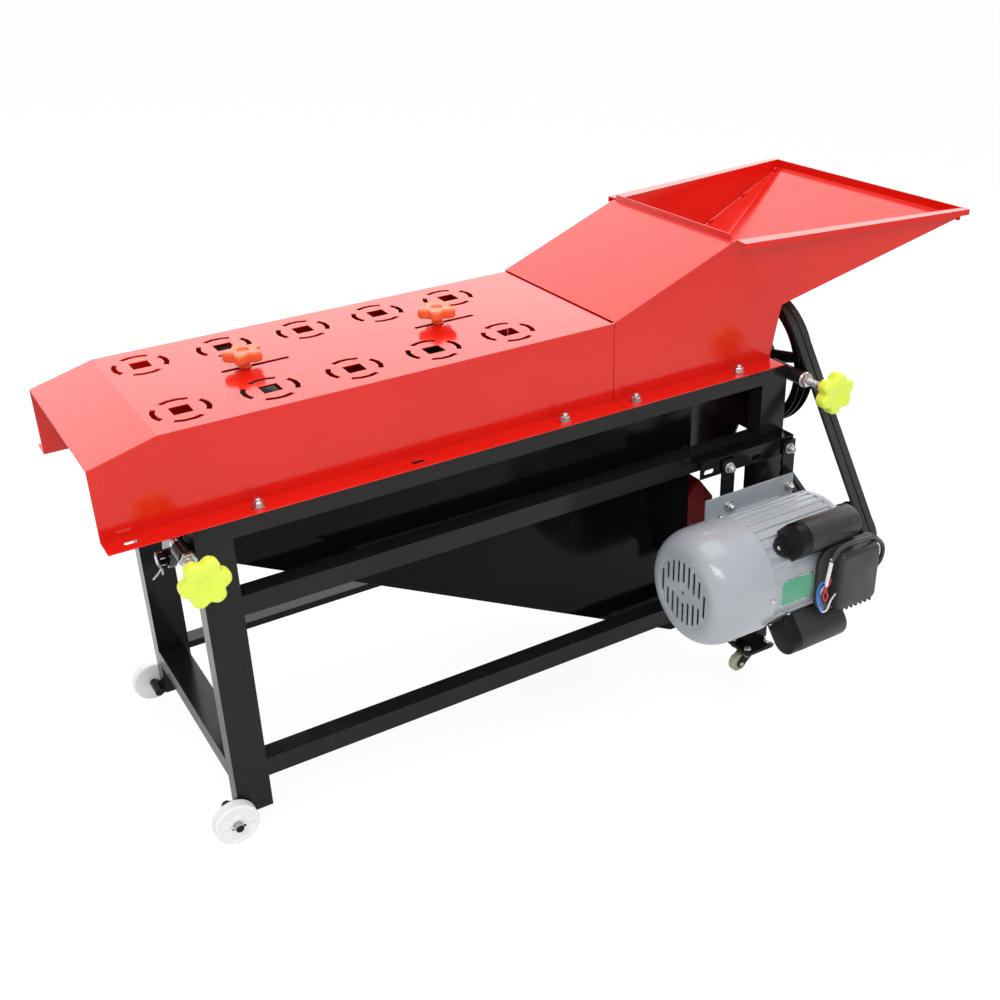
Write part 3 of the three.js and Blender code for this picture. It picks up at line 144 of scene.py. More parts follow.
# One shader for the light that bounces, and by the given share another for what the camera sees.
def cameraMix(tree, out, bounced, seen, share):
    path = tree.nodes.new("ShaderNodeLightPath")
    amount = tree.nodes.new("ShaderNodeMath")
    amount.operation = "MULTIPLY"
    amount.inputs[1].default_value = share
    mix = tree.nodes.new("ShaderNodeMixShader")
    tree.links.new(path.outputs["Is Camera Ray"], amount.inputs[0])
    tree.links.new(amount.outputs[0], mix.inputs[0])
    tree.links.new(bounced.outputs[0], mix.inputs[1])
    tree.links.new(seen.outputs[0], mix.inputs[2])
    tree.links.new(mix.outputs[0], out.inputs[0])


def makeStudio():
    scene = bpy.context.scene
    scene.view_settings.view_transform = "Standard"
    scene.world = bpy.data.worlds.new("studio")
    tree, out = bareTree(scene.world, "ShaderNodeOutputWorld")
    back = tree.nodes.new("ShaderNodeBackground")
    back.inputs["Color"].default_value = (*studio["worldTone"], 1)
    back.inputs["Strength"].default_value = studio["world"]
    white = tree.nodes.new("ShaderNodeBackground")
    white.inputs["Color"].default_value = (1, 1, 1, 1)
    cameraMix(tree, out, back, white, 1.0)
    for name, light in lights.items():
        areaLight(name + "Light", *light)


def makeFloor():
    reach = studio["floorReach"]
    mesh = bpy.data.meshes.new("floor")
    corners = [(-reach, -reach, 0), (reach, -reach, 0), (reach, reach, 0), (-reach, reach, 0)]
    mesh.from_pydata(corners, [], [(0, 1, 2, 3)])
    floor = newObject("floor", mesh)
    material = bpy.data.materials.new("paleFloor")
    tree, out = bareTree(material, "ShaderNodeOutputMaterial")
    matt = tree.nodes.new("ShaderNodeBsdfDiffuse")
    matt.inputs["Color"].default_value = (*studio["floorTone"], 1)
    glow = tree.nodes.new("ShaderNodeEmission")
    glow.inputs["Strength"].default_value = studio["floorGlow"]
    cameraMix(tree, out, matt, glow, studio["glowShare"])
    mesh.materials.append(material)


makeCamera()
makeStudio()
makeFloor()
print("stage: camera, light and floor made")

# Finishes


# A small helper around one material's nodes.
class Sheet:

    def __init__(self, name):
        self.material = bpy.data.materials.new(name)
        self.material.use_nodes = True
        self.tree = self.material.node_tree
        self.shader = self.tree.nodes["Principled BSDF"]
        self.coords = self.tree.nodes.new("ShaderNodeTexCoord").outputs["Object"]

    def node(self, kind, **inputs):
        node = self.tree.nodes.new(kind)
        for key, value in inputs.items():
            node.inputs[key].default_value = value
        return node

    def link(self, a, b):
        self.tree.links.new(a, b)

    def noise(self, scale, detail=4.0, stretch=None):
        node = self.node("ShaderNodeTexNoise", Scale=scale, Detail=detail)
        source = self.coords
        if stretch:
            mapping = self.node("ShaderNodeMapping", Scale=stretch)
            self.link(self.coords, mapping.inputs["Vector"])
            source = mapping.outputs["Vector"]
        self.link(source, node.inputs["Vector"])
        return node.outputs["Fac"]

    def ramp(self, source, low, high, a, b):
        node = self.tree.nodes.new("ShaderNodeMapRange")
        for key, value in (("From Min", low), ("From Max", high), ("To Min", a), ("To Max", b)):
            node.inputs[key].default_value = value
        self.link(source, node.inputs["Value"])
        return node.outputs["Result"]

    def blend(self, fac, a, b):
        node = self.tree.nodes.new("ShaderNodeMix")
        node.data_type = "RGBA"
        self.link(fac, node.inputs[0])
        for socket, value in ((node.inputs[6], a), (node.inputs[7], b)):
            if isinstance(value, tuple):
                socket.default_value = (*value, 1)
            else:
                self.link(value, socket)
        return node.outputs[2]

    def bump(self, height, strength, distance):
        node = self.node("ShaderNodeBump", Strength=strength, Distance=distance)
        self.link(height, node.inputs["Height"])
        self.link(node.outputs["Normal"], self.shader.inputs["Normal"])


glossLook = dict(
    cloud=(7.0, 4.0), cloudEdges=(0.3, 0.7), speck=(60.0, 8.0), speckEdges=(0.62, 0.8),
    speckTone=(0.45, 0.43, 0.4), patch=(24.0, 6.0), patchEdges=(0.3, 0.75), roughSpan=(0.8, 1.35),
    coatRough=0.06, peelDetail=2.0, peelStrength=0.35,
)
brushedLook = dict(
    patch=(30.0, 6.0), patchEdges=(0.35, 0.7), darker=0.45, scratchDetail=5.0, scratchEdges=(0.3, 0.7),
    roughSpan=(0.7, 1.4), strength=0.3, height=0.00006,
)


# Paint or plastic: cloudy colour, patchy roughness and a fine orange-peel bump. A single number is a grey.
def gloss(
    name, colour, deep, rough, coat=0.0, peel=420.0, peelHeight=0.00008, dust=0.0, specular=0.5,
    tint=(1, 1, 1),
):
    g = glossLook
    s = Sheet(name)
    colour, deep = (c if isinstance(c, tuple) else (c, c, c) for c in (colour, deep))
    colourOut = s.blend(s.ramp(s.noise(*g["cloud"]), *g["cloudEdges"], 0.0, 1.0), colour, deep)
    if dust:
        specks = s.ramp(s.noise(*g["speck"]), *g["speckEdges"], 0.0, dust)
        colourOut = s.blend(specks, colourOut, g["speckTone"])
    s.link(colourOut, s.shader.inputs["Base Color"])
    least, most = (rough * share for share in g["roughSpan"])
    s.link(s.ramp(s.noise(*g["patch"]), *g["patchEdges"], least, most), s.shader.inputs["Roughness"])
    s.shader.inputs["Specular IOR Level"].default_value = specular
    s.shader.inputs["Specular Tint"].default_value = (*tint, 1)
    s.shader.inputs["Coat Weight"].default_value = coat
    s.shader.inputs["Coat Roughness"].default_value = g["coatRough"]
    s.bump(s.noise(peel, g["peelDetail"]), g["peelStrength"], peelHeight)
    return s.material


# Bare or plated steel with fine drawn scratches and darker patches.
def brushed(name, colour, rough, stretch, scale, spots):
    b = brushedLook
    s = Sheet(name)
    patch = s.ramp(s.noise(*b["patch"]), *b["patchEdges"], 0.0, spots)
    s.link(s.blend(patch, colour, tuple(c * b["darker"] for c in colour)), s.shader.inputs["Base Color"])
    scratch = s.noise(scale, b["scratchDetail"], stretch)
    least, most = (rough * share for share in b["roughSpan"])
    s.link(s.ramp(scratch, *b["scratchEdges"], least, most), s.shader.inputs["Roughness"])
    s.shader.inputs["Metallic"].default_value = 1.0
    s.bump(scratch, b["strength"], b["height"])
    return s.material


paints = {
    "red": gloss(
        "redPaint", (0.74, 0.012, 0.006), (0.7, 0.01, 0.005), 0.15, coat=0.1, dust=0.02, specular=0.44,
        tint=(1, 0.9, 0.82),
    ),
    "darkRed": gloss("darkRedPaint", (0.22, 0.004, 0.004), (0.15, 0.003, 0.003), 0.3, coat=0.2, dust=0.08),
    "black": gloss("blackPaint", 0.004, 0.006, 0.13, coat=0.05, dust=0.02, specular=0.18),
    # Black frame paint made lighter than the other black: painted reflection of the bright floor on the
    # frame's faces.
    "frameBlack": gloss("framePaintPaintedReflection", 0.012, 0.009, 0.17, coat=0.05, dust=0.02, specular=0.2),
    # Black paint on the side panels and husk chute, darker and less glossy than the other black: painted
    # shade for the dark reflections on these panels.
    "deepBlack": gloss("panelPaintPaintedShade", 0.002, 0.003, 0.11, dust=0.01, specular=0.09),
    "endCap": gloss("endCapPlastic", 0.005, 0.008, 0.3, dust=0.03, specular=0.2),
    "motorGrey": gloss("motorPaint", (0.41, 0.445, 0.485), (0.38, 0.415, 0.455), 0.2, coat=0.3, dust=0.02),
    "blackPlastic": gloss("blackPlastic", (0.014, 0.014, 0.015), (0.02, 0.02, 0.021), 0.3, dust=0.05),
    "satinPlastic": gloss(
        "satinBlackPlastic", (0.02, 0.02, 0.021), (0.028, 0.028, 0.029), 0.42, peel=700, dust=0.08,
    ),
    "yellow": gloss("yellowPlastic", (0.8, 0.97, 0.09), (0.75, 0.92, 0.08), 0.36, peel=260),
    "orange": gloss("orangePlastic", (0.92, 0.17, 0.05), (0.87, 0.14, 0.04), 0.34, peel=260),
    "nylon": gloss("whiteNylon", (0.95, 0.95, 0.94), (0.91, 0.91, 0.9), 0.4, peel=200, dust=0.03),
    "cream": gloss("creamPlastic", (0.66, 0.68, 0.5), (0.58, 0.6, 0.43), 0.4, peel=200, dust=0.1),
    "rubber": gloss(
        "blackRubber", (0.018, 0.018, 0.019), 0.028, 0.62, peel=320, peelHeight=0.0002, dust=0.12,
    ),
    "sheath": gloss("cableSheath", (0.02, 0.02, 0.022), (0.03, 0.03, 0.032), 0.38, peel=500),
    "wireWhite": gloss("whiteWire", (0.8, 0.8, 0.78), (0.72, 0.72, 0.7), 0.4),
    "wireBlue": gloss("blueWire", (0.03, 0.2, 0.62), (0.02, 0.15, 0.5), 0.35),
    "wireRed": gloss("redWire", (0.65, 0.02, 0.03), (0.5, 0.015, 0.02), 0.35),
    "tag": gloss("greenTag", (0.1, 0.42, 0.26), (0.08, 0.36, 0.22), 0.35, peel=500),
    "zinc": brushed("zincPlate", (0.66, 0.67, 0.69), 0.3, (1, 1, 1), 220.0, 0.35),
    "steel": brushed("turnedSteel", (0.55, 0.56, 0.58), 0.32, (0.2, 6, 6), 120.0, 0.3),
    "bright": brushed("brightSteel", (0.72, 0.72, 0.73), 0.2, (1, 1, 1), 300.0, 0.15),
}
print("stage: finishes made")

slotPaint = {
    "red_paint": "red", "black_paint": "black", "dark_red_paint": "darkRed", "zinc_steel": "zinc",
    "roller_rubber": "rubber", "roller_steel": "steel", "belt_rubber": "rubber", "yellow_plastic": "yellow",
    "orange_plastic": "orange", "white_nylon": "nylon", "cream_plastic": "cream", "motor_paint": "motorGrey",
    "black_plastic": "blackPlastic", "cable_sheath": "sheath",
}
nodeSlot = {s["node"]: s["material_slot"] for s in record["subparts"]}
for name, node in nodes.items():
    node.data.materials.clear()
    node.data.materials.append(paints[slotPaint[nodeSlot[name]]])
print("stage: carried-over nodes painted")

# Surfaces worked out on grids


# Quads between neighbouring rows and columns of a (rows, columns, 3) array of points.
def closedGrid(points, loopU=False, loopV=True):
    rows, columns = points.shape[:2]
    i = np.arange(rows if loopU else rows - 1)[:, None]
    j = np.arange(columns if loopV else columns - 1)[None, :]
    a = i * columns + j
    b = ((i + 1) % rows) * columns + j
    c = ((i + 1) % rows) * columns + (j + 1) % columns
    d = i * columns + (j + 1) % columns
    return points.reshape(-1, 3), np.stack([a, b, c, d], axis=-1).reshape(-1, 4)


# An outline carried along an axis: each station gives the place along it and the outline's scale there.
def carried(outline, stations, centre=(0, 0, 0), axis="z", loop=False):
    stations = np.asarray(stations, float)
    outline = np.asarray(outline, float)
    if outline.ndim == 2:
        outline = outline[None]
    flat = outline * stations[:, 1][:, None, None]
    along = np.broadcast_to(stations[:, 0][:, None], flat.shape[:2])
    local = np.concatenate([flat, along[..., None]], axis=2)
    spot = {"x": local[..., [2, 0, 1]], "y": local[..., [0, 2, 1]], "z": local}[axis]
    return closedGrid(spot + np.asarray(centre, float), loopU=loop)


# The stations or profile of a plain block or bar, closed at both ends.
def plain(low, high, size=1.0):
    return [(low, 0), (low, size), (high, size), (high, 0)]


# The same for a plate whose faces are a share smaller, so that its rims are rounded off.
def rimmed(low, high, rim, share):
    step = math.copysign(rim, high - low)
    return [(low, 0), (low, share), (low + step, 1), (high - step, 1), (high, share), (high, 0)]


# A unit circle.
def ringOf(count=64, turnBy=0.0):
    t = np.arange(count) / count * 2 * math.pi + turnBy
    return np.stack([np.cos(t), np.sin(t)], axis=1)


# A polygon with unit corners: points shared evenly along each straight side.
def polygonOf(sides, per=4, turnBy=0.0):
    corners = ringOf(sides, turnBy)
    share = np.arange(per) / per
    nextCorner = np.roll(corners, -1, axis=0)
    sides = corners[:, None] * (1 - share)[None, :, None] + nextCorner[:, None] * share[None, :, None]
    return sides.reshape(-1, 2)


# A circle whose radius swells and shrinks once for every lobe; a power over 1 broadens the lobes.
def lobedOutline(radius, wave, lobes, count=240, power=1.0, turnBy=0.0):
    t = np.arange(count) / count * 2 * math.pi
    swell = 1 - 2 * (0.5 - 0.5 * np.cos(lobes * (t - turnBy))) ** power
    r = radius + wave * swell
    return np.stack([r * np.cos(t), r * np.sin(t)], axis=1)


# A rectangle with round corners, about its own centre.
def slabOutline(width, height, corner, count=10):
    t = (np.arange(4)[:, None] + np.linspace(0, 1, count)[None, :]) * math.pi / 2
    centres = np.array([[1, 1], [-1, 1], [-1, -1], [1, -1]]) * (np.array([width, height]) / 2 - corner)
    arc = np.stack([np.cos(t), np.sin(t)], axis=-1) * corner
    return (centres[:, None] + arc).reshape(-1, 2)


# A block with round corners; the outline is (width, height, corner, count).
def slab(outline, stations, centre, axis):
    return carried(slabOutline(*outline), stations, centre, axis)


# A profile whose corners are rounded with short parabolas as long as the radius allows.
def eased(profile, radius, steps=5, loop=False):
    p = np.asarray(profile, float)
    before = np.roll(p, 1, axis=0) - p
    after = np.roll(p, -1, axis=0) - p
    lengthBefore = np.linalg.norm(before, axis=1, keepdims=True)
    lengthAfter = np.linalg.norm(after, axis=1, keepdims=True)
    reach = np.minimum(radius, np.minimum(lengthBefore, lengthAfter) * 0.45)
    first = p + before / np.maximum(lengthBefore, 1e-9) * reach
    last = p + after / np.maximum(lengthAfter, 1e-9) * reach
    t = np.linspace(0, 1, steps)[None, :, None]
    curve = first[:, None] * (1 - t) ** 2 + 2 * p[:, None] * t * (1 - t) + last[:, None] * t**2
    if loop:
        return curve.reshape(-1, 2)
    return np.concatenate([p[:1], curve[1:-1].reshape(-1, 2), p[-1:]])


# A profile of (along, radius) spun about an axis. It closes on the axis, or on itself.
def turnedPiece(profile, centre, axis="x", count=96, ease=0.8, loop=False):
    return carried(ringOf(count), eased(profile, ease, loop=loop), centre, axis, loop)


# A round section carried along a smooth path, with domed ends.
def tube(path, radius, sides=16, up=(0, 0, 1)):
    path = np.asarray(path, float)
    ahead = np.gradient(path, axis=0)
    ahead /= np.linalg.norm(ahead, axis=1, keepdims=True)
    side = np.cross(ahead, np.broadcast_to(np.asarray(up, float), path.shape))
    side /= np.linalg.norm(side, axis=1, keepdims=True)
    over = np.cross(side, ahead)
    u, v = (ringOf(sides)[None, :, k : k + 1] for k in (0, 1))
    body = path[:, None] + radius * (u * side[:, None] + v * over[:, None])
    t = np.array([1.0, 0.8, 0.45])
    shrink = np.sqrt(1 - t**2)
    head, tail = (
        (path[end] + way * ahead[end] * radius * t[order, None] * 0.4)[:, None]
        + radius * shrink[order, None, None] * (u * side[end] + v * over[end])
        for end, way, order in ((0, -1, slice(None)), (-1, 1, slice(None, None, -1)))
    )
    return closedGrid(np.concatenate([head, body, tail]))


# A Catmull-Rom path through the points, on an even parameter.
def smoothPath(points, count):
    p = np.asarray(points, float)
    p = np.concatenate([2 * p[:1] - p[1:2], p, 2 * p[-1:] - p[-2:-1]])
    s = np.linspace(0, len(p) - 3 - 1e-6, count)
    k = s.astype(int)
    t = (s - k)[:, None]
    a, b, c, d = p[k], p[k + 1], p[k + 2], p[k + 3]
    return 0.5 * (2 * b + (c - a) * t + (2 * a - 5 * b + 4 * c - d) * t**2 + (3 * b - a - 3 * c + d) * t**3)


# Points turned about an axis line by an angle in radians.
def turnedAbout(points, axisPoint, angle, axis="x"):
    p = np.asarray(points, float) - np.asarray(axisPoint, float)
    i, j = {"x": (1, 2), "y": (2, 0), "z": (0, 1)}[axis]
    q = p.copy()
    q[:, i] = p[:, i] * math.cos(angle) - p[:, j] * math.sin(angle)
    q[:, j] = p[:, i] * math.sin(angle) + p[:, j] * math.cos(angle)
    return q + np.asarray(axisPoint, float)


# Meshes and pieces

meshing = dict(weld=2e-6, flat=0.6, bevelAngle=32, bevelSegments=2)


# Shells of (points, quads) given one paint, as parts of a piece.
def painted(paint, *shells):
    return [(*shell, paint) for shell in shells]


# Painted shells as one mesh, welded and facing outward.
def shellMesh(name, parts):
    keys = list(dict.fromkeys(paint for *_, paint in parts))
    points, quads, which, offset = [], [], [], 0
    for pts, qs, paint in parts:
        points.append(pts)
        quads.append(qs + offset)
        which.append(np.full(len(qs), keys.index(paint)))
        offset += len(pts)
    mesh = bpy.data.meshes.new(name)
    mesh.from_pydata(place(np.concatenate(points)).tolist(), [], np.concatenate(quads).tolist())
    mesh.polygons.foreach_set("material_index", np.concatenate(which).astype(np.int32))
    for key in keys:
        mesh.materials.append(paints[key])
    work = bmesh.new()
    work.from_mesh(mesh)
    bmesh.ops.remove_doubles(work, verts=work.verts, dist=meshing["weld"])
    bmesh.ops.recalc_face_normals(work, faces=work.faces)
    work.to_mesh(mesh)
    work.free()
    return mesh


# A mesh made into a piece: smooth up to a sharp angle and on its body. One that stands for a
# CAD node takes that node's place.
def finishPiece(name, mesh, node=None, slotName="zinc_steel", sharp=38, bevel=0.0):
    mesh.polygons.foreach_set("use_smooth", np.ones(len(mesh.polygons), bool))
    mesh.set_sharp_from_angle(angle=math.radians(sharp))
    piece = newObject(name, mesh)
    if bevel:
        edge = piece.modifiers.new("softEdge", "BEVEL")
        edge.width = bevel / 1000
        edge.segments = meshing["bevelSegments"]
        edge.limit_method = "ANGLE"
        edge.angle_limit = math.radians(meshing["bevelAngle"])
        edge.harden_normals = True
        edge.use_clamp_overlap = True
    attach(piece, nodes[node]["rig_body"] if node else "machine")
    if node:
        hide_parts(node)
    return piece


def addPiece(name, parts, *node, **look):
    return finishPiece(name, shellMesh(name, parts), *node, **look)


# A copy of a folded or welded CAD node with its edges rounded as real sheet and tube are.
def softened(node, paint, width, sharp, reshape=None):
    mesh = nodes[node].data.copy()
    mesh.name = node + "Skin"
    work = bmesh.new()
    work.from_mesh(mesh)
    bmesh.ops.remove_doubles(work, verts=work.verts, dist=meshing["weld"])
    flat = math.radians(meshing["flat"])
    bmesh.ops.dissolve_limit(work, angle_limit=flat, verts=work.verts, edges=work.edges)
    many = [face for face in work.faces if len(face.verts) > 4]
    bmesh.ops.triangulate(work, faces=many, quad_method="BEAUTY", ngon_method="BEAUTY")
    work.to_mesh(mesh)
    work.free()
    if reshape:
        spots = np.empty(len(mesh.vertices) * 3, np.float32)
        mesh.vertices.foreach_get("co", spots)
        level = (spots.reshape(-1, 3) - origin) @ turn * 1000
        mesh.vertices.foreach_set("co", place(reshape(level)).astype(np.float32).ravel())
    mesh.materials.clear()
    mesh.materials.append(paints[paint])
    finishPiece(node + "Skin", mesh, node, sharp=sharp, bevel=width)


# The motor lead: from the far wall of the terminal box over its top to its three wires, which go back
# under the box. Its points are counted from `start`, in deck millimetres.
lead = dict(
    start=(980, -311, 234), radius=3.6, length=0.19, sleeve=3.0, wire=1.35,
    route=[
        (-5.6, -105, 2.6), (0.8, -104.7, 4.2), (7, -104, 8), (11.6, -103.2, 13.8), (14.2, -102.4, 20.8),
        (14.4, -101.8, 28.4), (12.2, -101.4, 35.4), (7.8, -101.4, 41.6), (2.2, -102, 46.8),
        (-4, -103, 52.8), (-12.4, -104.8, 58.4), (-27, -108.6, 63.6), (-44, -113, 68.6),
        (-60, -116.5, 72.4), (-75, -118.4, 74.4), (-88, -119, 73.6), (-98.8, -119, 69.4),
        (-106.8, -119, 62.4), (-112, -119, 54),
    ],
    white=[
        (-119, -118, 16), (-127, -117.5, 2), (-129, -117.5, -12), (-124, -119, -26), (-119, -119.5, -31.5),
        (-111, -119.5, -30), (-104, -118, -18), (-91, -114, -12),
    ],
    blue=[
        (-117, -119, 20), (-127, -119.5, 22.5), (-134, -119.5, 14), (-134, -119.5, -3), (-128, -119.5, -21),
        (-123, -119.5, -28.5), (-121, -120, -24), (-125.5, -120.4, -16), (-130.5, -120.4, -2),
        (-130, -120.4, 12), (-120, -120, 18),
    ],
    red=[
        (-119, -119.5, 17), (-122, -121.4, 10), (-124.5, -121.6, -1), (-119.5, -121.6, -10.5),
        (-115, -121.6, -4), (-119.5, -121.4, 9), (-113.5, -120.5, 15), (-109, -119.5, 23),
    ],
    sleeveRoute=[(-111, -119, 58), (-113.5, -119.6, 44), (-116, -119.8, 30), (-119, -119.8, 14.6)],
)


def leadPieces():
    start = np.array(lead["start"])
    route = smoothPath(lead["route"], 150) + start
    sheath = painted("sheath", tube(route, lead["radius"], 20, (0.2, 1, 0.3)))
    piece = addPiece("motorLead", sheath, "motor_cable")
    sleeve = smoothPath(lead["sleeveRoute"], 30) + start
    wires = painted("wireWhite", tube(sleeve, lead["sleeve"], 16, (0.1, 1, 0.2)))
    for colour in ("white", "blue", "red"):
        path = smoothPath(lead[colour], 80) + start
        wires += painted("wire" + colour.title(), tube(path, lead["wire"], 12, (0.1, 1, 0.2)))
    ends = addPiece("leadWires", wires, slotName="cable_sheath")
    path = place(route)


leadPieces()
print("stage: motor lead made")

# Frame, panels and cover

axleSleeve = dict(x=-10.5, z=39, radius=10.2, thin=7.0, reach=193, slack=0.4)


# The sleeve round each wheel axle, drawn in to its real thickness.
def thinSleeve(points):
    s = axleSleeve
    across = points[:, [0, 2]] - np.array([s["x"], s["z"]])
    far = np.linalg.norm(across, axis=1)
    near = (np.abs(far - s["radius"]) < s["slack"]) & (np.abs(points[:, 1]) < s["reach"])
    scale = np.where(near, s["thin"] / np.maximum(far, 1e-6), 1.0)
    moved = points.copy()
    moved[:, [0, 2]] = np.array([s["x"], s["z"]]) + across * scale[:, None]
    return moved


# Nodes, paint, edge width, the angle over which an edge stays sharp, and a change of shape.
skins = (
    # The frame takes the black with a painted reflection in its colour.
    ("frame_front frame_back", "frameBlack", 1.0, 25, thinSleeve),
    ("end_rail_left end_rail_right", "frameBlack", 1.0, 25, None),
    ("hanger_bracket", "black", 1.0, 25, None),
    # The panels and chute take the black with painted shade in its colour.
    ("side_panel_front side_panel_back husk_chute", "deepBlack", 0.4, 8, None),
    ("husk_outlet_hood", "darkRed", 0.4, 8, None),
    ("end_plate_left end_plate_right swing_arm_left swing_arm_right", "black", 0.5, 25, None),
    ("cover_sheet hopper_side_front hopper_side_back hopper_floor hopper_lid", "red", 0.55, 8, None),
    ("motor_foot", "motorGrey", 0.8, 25, None),
)
for skinNodes, *look in skins:
    for node in skinNodes.split():
        softened(node, *look)

hopperSeam = dict(
    low=(988, 150.4, 587.2), high=(1304.5, 214.4, 692.2), shares=(0.39, 0.68, 0.96), half=4.5, radius=2.6,
)


# Three short weld beads along the seam between the hopper's floor and each flared side.
def hopperBeads():
    parts = []
    low, high = (np.array(hopperSeam[k], float) for k in ("low", "high"))
    along = (high - low) / np.linalg.norm(high - low) * hopperSeam["half"]
    for share in hopperSeam["shares"]:
        for side in (-1, 1):
            middle = (low + (high - low) * share) * (1, side, 1)
            step = along * (1, side, 1)
            parts += painted("red", tube([middle - step, middle, middle + step], hopperSeam["radius"], 12))
    addPiece("hopperBeads", parts, slotName="red_paint")


hopperBeads()
print("stage: frame, panels and cover softened")

# Rollers

rollers = dict(
    pitch=46, middle=3.5, z=466, start=12, end=936, radius=22.6, face=19, rim=1, margin=3, shaft=9,
    ribPitch=6.0, ribDeep=0.9, ribSteps=460, shaftEnds={1: (-17.8, 997.8), 2: (-12.6, 1046)},
    otherEnds=(-12.6, 992.6),
)


# A barrel of radius r(x). On the rubber ones r dips in shallow rings, on the steel ones it is plain.
def rollerPiece(number):
    r = rollers
    centre = (0, (number - r["middle"]) * r["pitch"], r["z"])
    rubbery = number % 2 == 1
    x = np.linspace(r["start"] + r["margin"], r["end"] - r["margin"], r["ribSteps"] if rubbery else 8)
    dip = r["ribDeep"] * (0.5 - 0.5 * np.cos(2 * math.pi * x / r["ribPitch"])) if rubbery else x * 0
    barrel = np.stack([x, r["radius"] - dip], axis=1)
    head, tail = (
        [(end, 0), (end, r["face"]), (end + step * r["rim"], r["radius"] - r["rim"])]
        for end, step in ((r["start"], 1), (r["end"], -1))
    )
    profile = np.concatenate([head, barrel, tail[::-1]])
    ends = r["shaftEnds"].get(number, r["otherEnds"])
    parts = painted("rubber" if rubbery else "steel", carried(ringOf(48), profile, centre, "x"))
    parts += painted("bright", turnedPiece(plain(*ends, r["shaft"]), centre, count=40))
    addPiece(f"rollerBarrel{number}", parts, f"roller_{number}")


for number in range(1, 7):
    rollerPiece(number)
print("stage: rollers made")

# Bolts and nuts

bolts = dict(shank=4, nutTall=6.6, nut=7.2, head=7.0, washer=9)
thread = dict(deep=0.35, rowsPerPitch=4, chamfer=0.8, chamferDeep=0.9)
hexCone = [(0, 0), (0, 0.86), (0.8, 0.97), (1.4, 1)]


# A hexagon whose corners are cut back by a cone at both ends.
def hexPiece(centre, axis, start, tall, radius, turnBy):
    low, high = sorted((start, start + tall))
    stations = [(low + a, radius * s) for a, s in hexCone]
    stations += [(high - a, radius * s) for a, s in hexCone[::-1]]
    return carried(polygonOf(6, 4, turnBy), stations, centre, axis)


def washerPiece(centre, axis, start, thick, radius):
    return turnedPiece(plain(*sorted((start, start + thick)), radius), centre, axis, 40, 0.3)


# A bolt thread: rings of crests and roots a pitch apart, with a chamfered tip.
def threadPiece(centre, axis, start, end, radius, pitch=1.25):
    low, high = sorted((start, end))
    count = max(int((high - low) / pitch * thread["rowsPerPitch"]), 8)
    a = np.linspace(low, high, count)
    r = radius - thread["deep"] * (0.5 - 0.5 * np.cos(2 * math.pi * a / pitch))
    edge = np.minimum(1, np.minimum(a - low, high - a) / thread["chamfer"])
    profile = np.stack([a, r - (1 - edge) * thread["chamferDeep"]], axis=1)
    profile = np.concatenate([[(low, 0)], profile, [(high, 0)]])
    return carried(ringOf(20), profile, centre, axis)


coverBolt = dict(
    along=(94, 567, 694, 892), across=173, flange=499.8, washerFrom=0.1, washerThick=1.5, nutFrom=1.6,
    thread=(4, 12.5), under=494.7, headTall=5,
)


def coverBolts():
    c, parts = coverBolt, []
    for x in c["along"]:
        for y in (-c["across"], c["across"]):
            spot, top = (x, y, 0), c["flange"]
            a, b = (top + reach for reach in c["thread"])
            parts += painted(
                "zinc",
                washerPiece(spot, "z", top + c["washerFrom"], c["washerThick"], bolts["washer"]),
                hexPiece(spot, "z", top + c["nutFrom"], bolts["nutTall"], bolts["nut"], x * 0.7),
                threadPiece(spot, "z", a, b, bolts["shank"]),
                hexPiece(spot, "z", c["under"], -c["headTall"], bolts["head"], x),
            )
    addPiece("coverBolts", parts)


coverBolts()
print("stage: cover bolts made")

# Swing arm screws and their star knobs

screws = dict(
    left=dict(x=-11.8, z=464, boss=-190, back=-240, turnBy=4),
    right=dict(x=991.8, z=478, boss=-216, back=-266, turnBy=22),
    rod=6.0, rodPitch=1.75, rodEnd=-149.6, rodIn=2, knobRadius=29.5, wave=3.5, dish=3.2, hubLong=6, hubDeep=7,
    thick=28, hub=12, pad=[(-149.3, 0), (-149.3, 6.6), (-146, 8), (-141.3, 8), (-141.3, 0)],
    nut=11.6, nutLong=9.9, nutFrom=10.3, flange=[(3.5, 0), (3.5, 10.5), (1.5, 12.4), (0.3, 12.4), (0.3, 0)],
)
knobForm = dict(rim=6.0, rimShare=0.3, rimSteps=7, inward=(0.08, 0.97, 28), fade=1.6)


# A lobed outline carried from the near face to the far one. Both rims are rounded, and the far face sinks
# to a round dish: the lobes fade into a circle towards the middle.
def starKnob(
    centre, axis, near, far, radius, wave, dish, lobes=6, turnBy=0.0, power=1.8, dishEdge=(0.3, 0.8),
):
    lobed = lobedOutline(1.0, wave / radius, lobes, power=power, turnBy=math.radians(turnBy))
    step = 1 if far > near else -1
    tall = abs(far - near)
    t = np.linspace(0, math.pi / 2, knobForm["rimSteps"])
    rim = min(knobForm["rim"], tall * knobForm["rimShare"])
    rows = [(near, 0, 0)]
    rows += [(near + step * rim * (1 - math.sin(a)), radius - rim * (1 - math.cos(a)), 0) for a in t[::-1]]
    rows += [(near + step * (tall - rim + rim * math.sin(a)), radius - rim * (1 - math.cos(a)), 0) for a in t]
    reach = radius - rim
    inward = np.linspace(*knobForm["inward"])
    edge, floor = dishEdge
    fall = 0.5 - 0.5 * np.cos(np.clip((inward - edge) / (floor - edge), 0, 1) * math.pi)
    fade = np.minimum(inward * knobForm["fade"], 1)
    rows += [(far - step * dish * f, reach * (1 - k), c) for k, f, c in zip(inward, fall, fade)]
    rows += [(far - step * dish, 0, 1)]
    rows = np.array(rows)
    roundness = rows[:, 2][:, None, None]
    outline = lobed[None] * (1 - roundness) + ringOf(len(lobed))[None] * roundness
    return carried(outline, rows[:, :2], centre, axis)


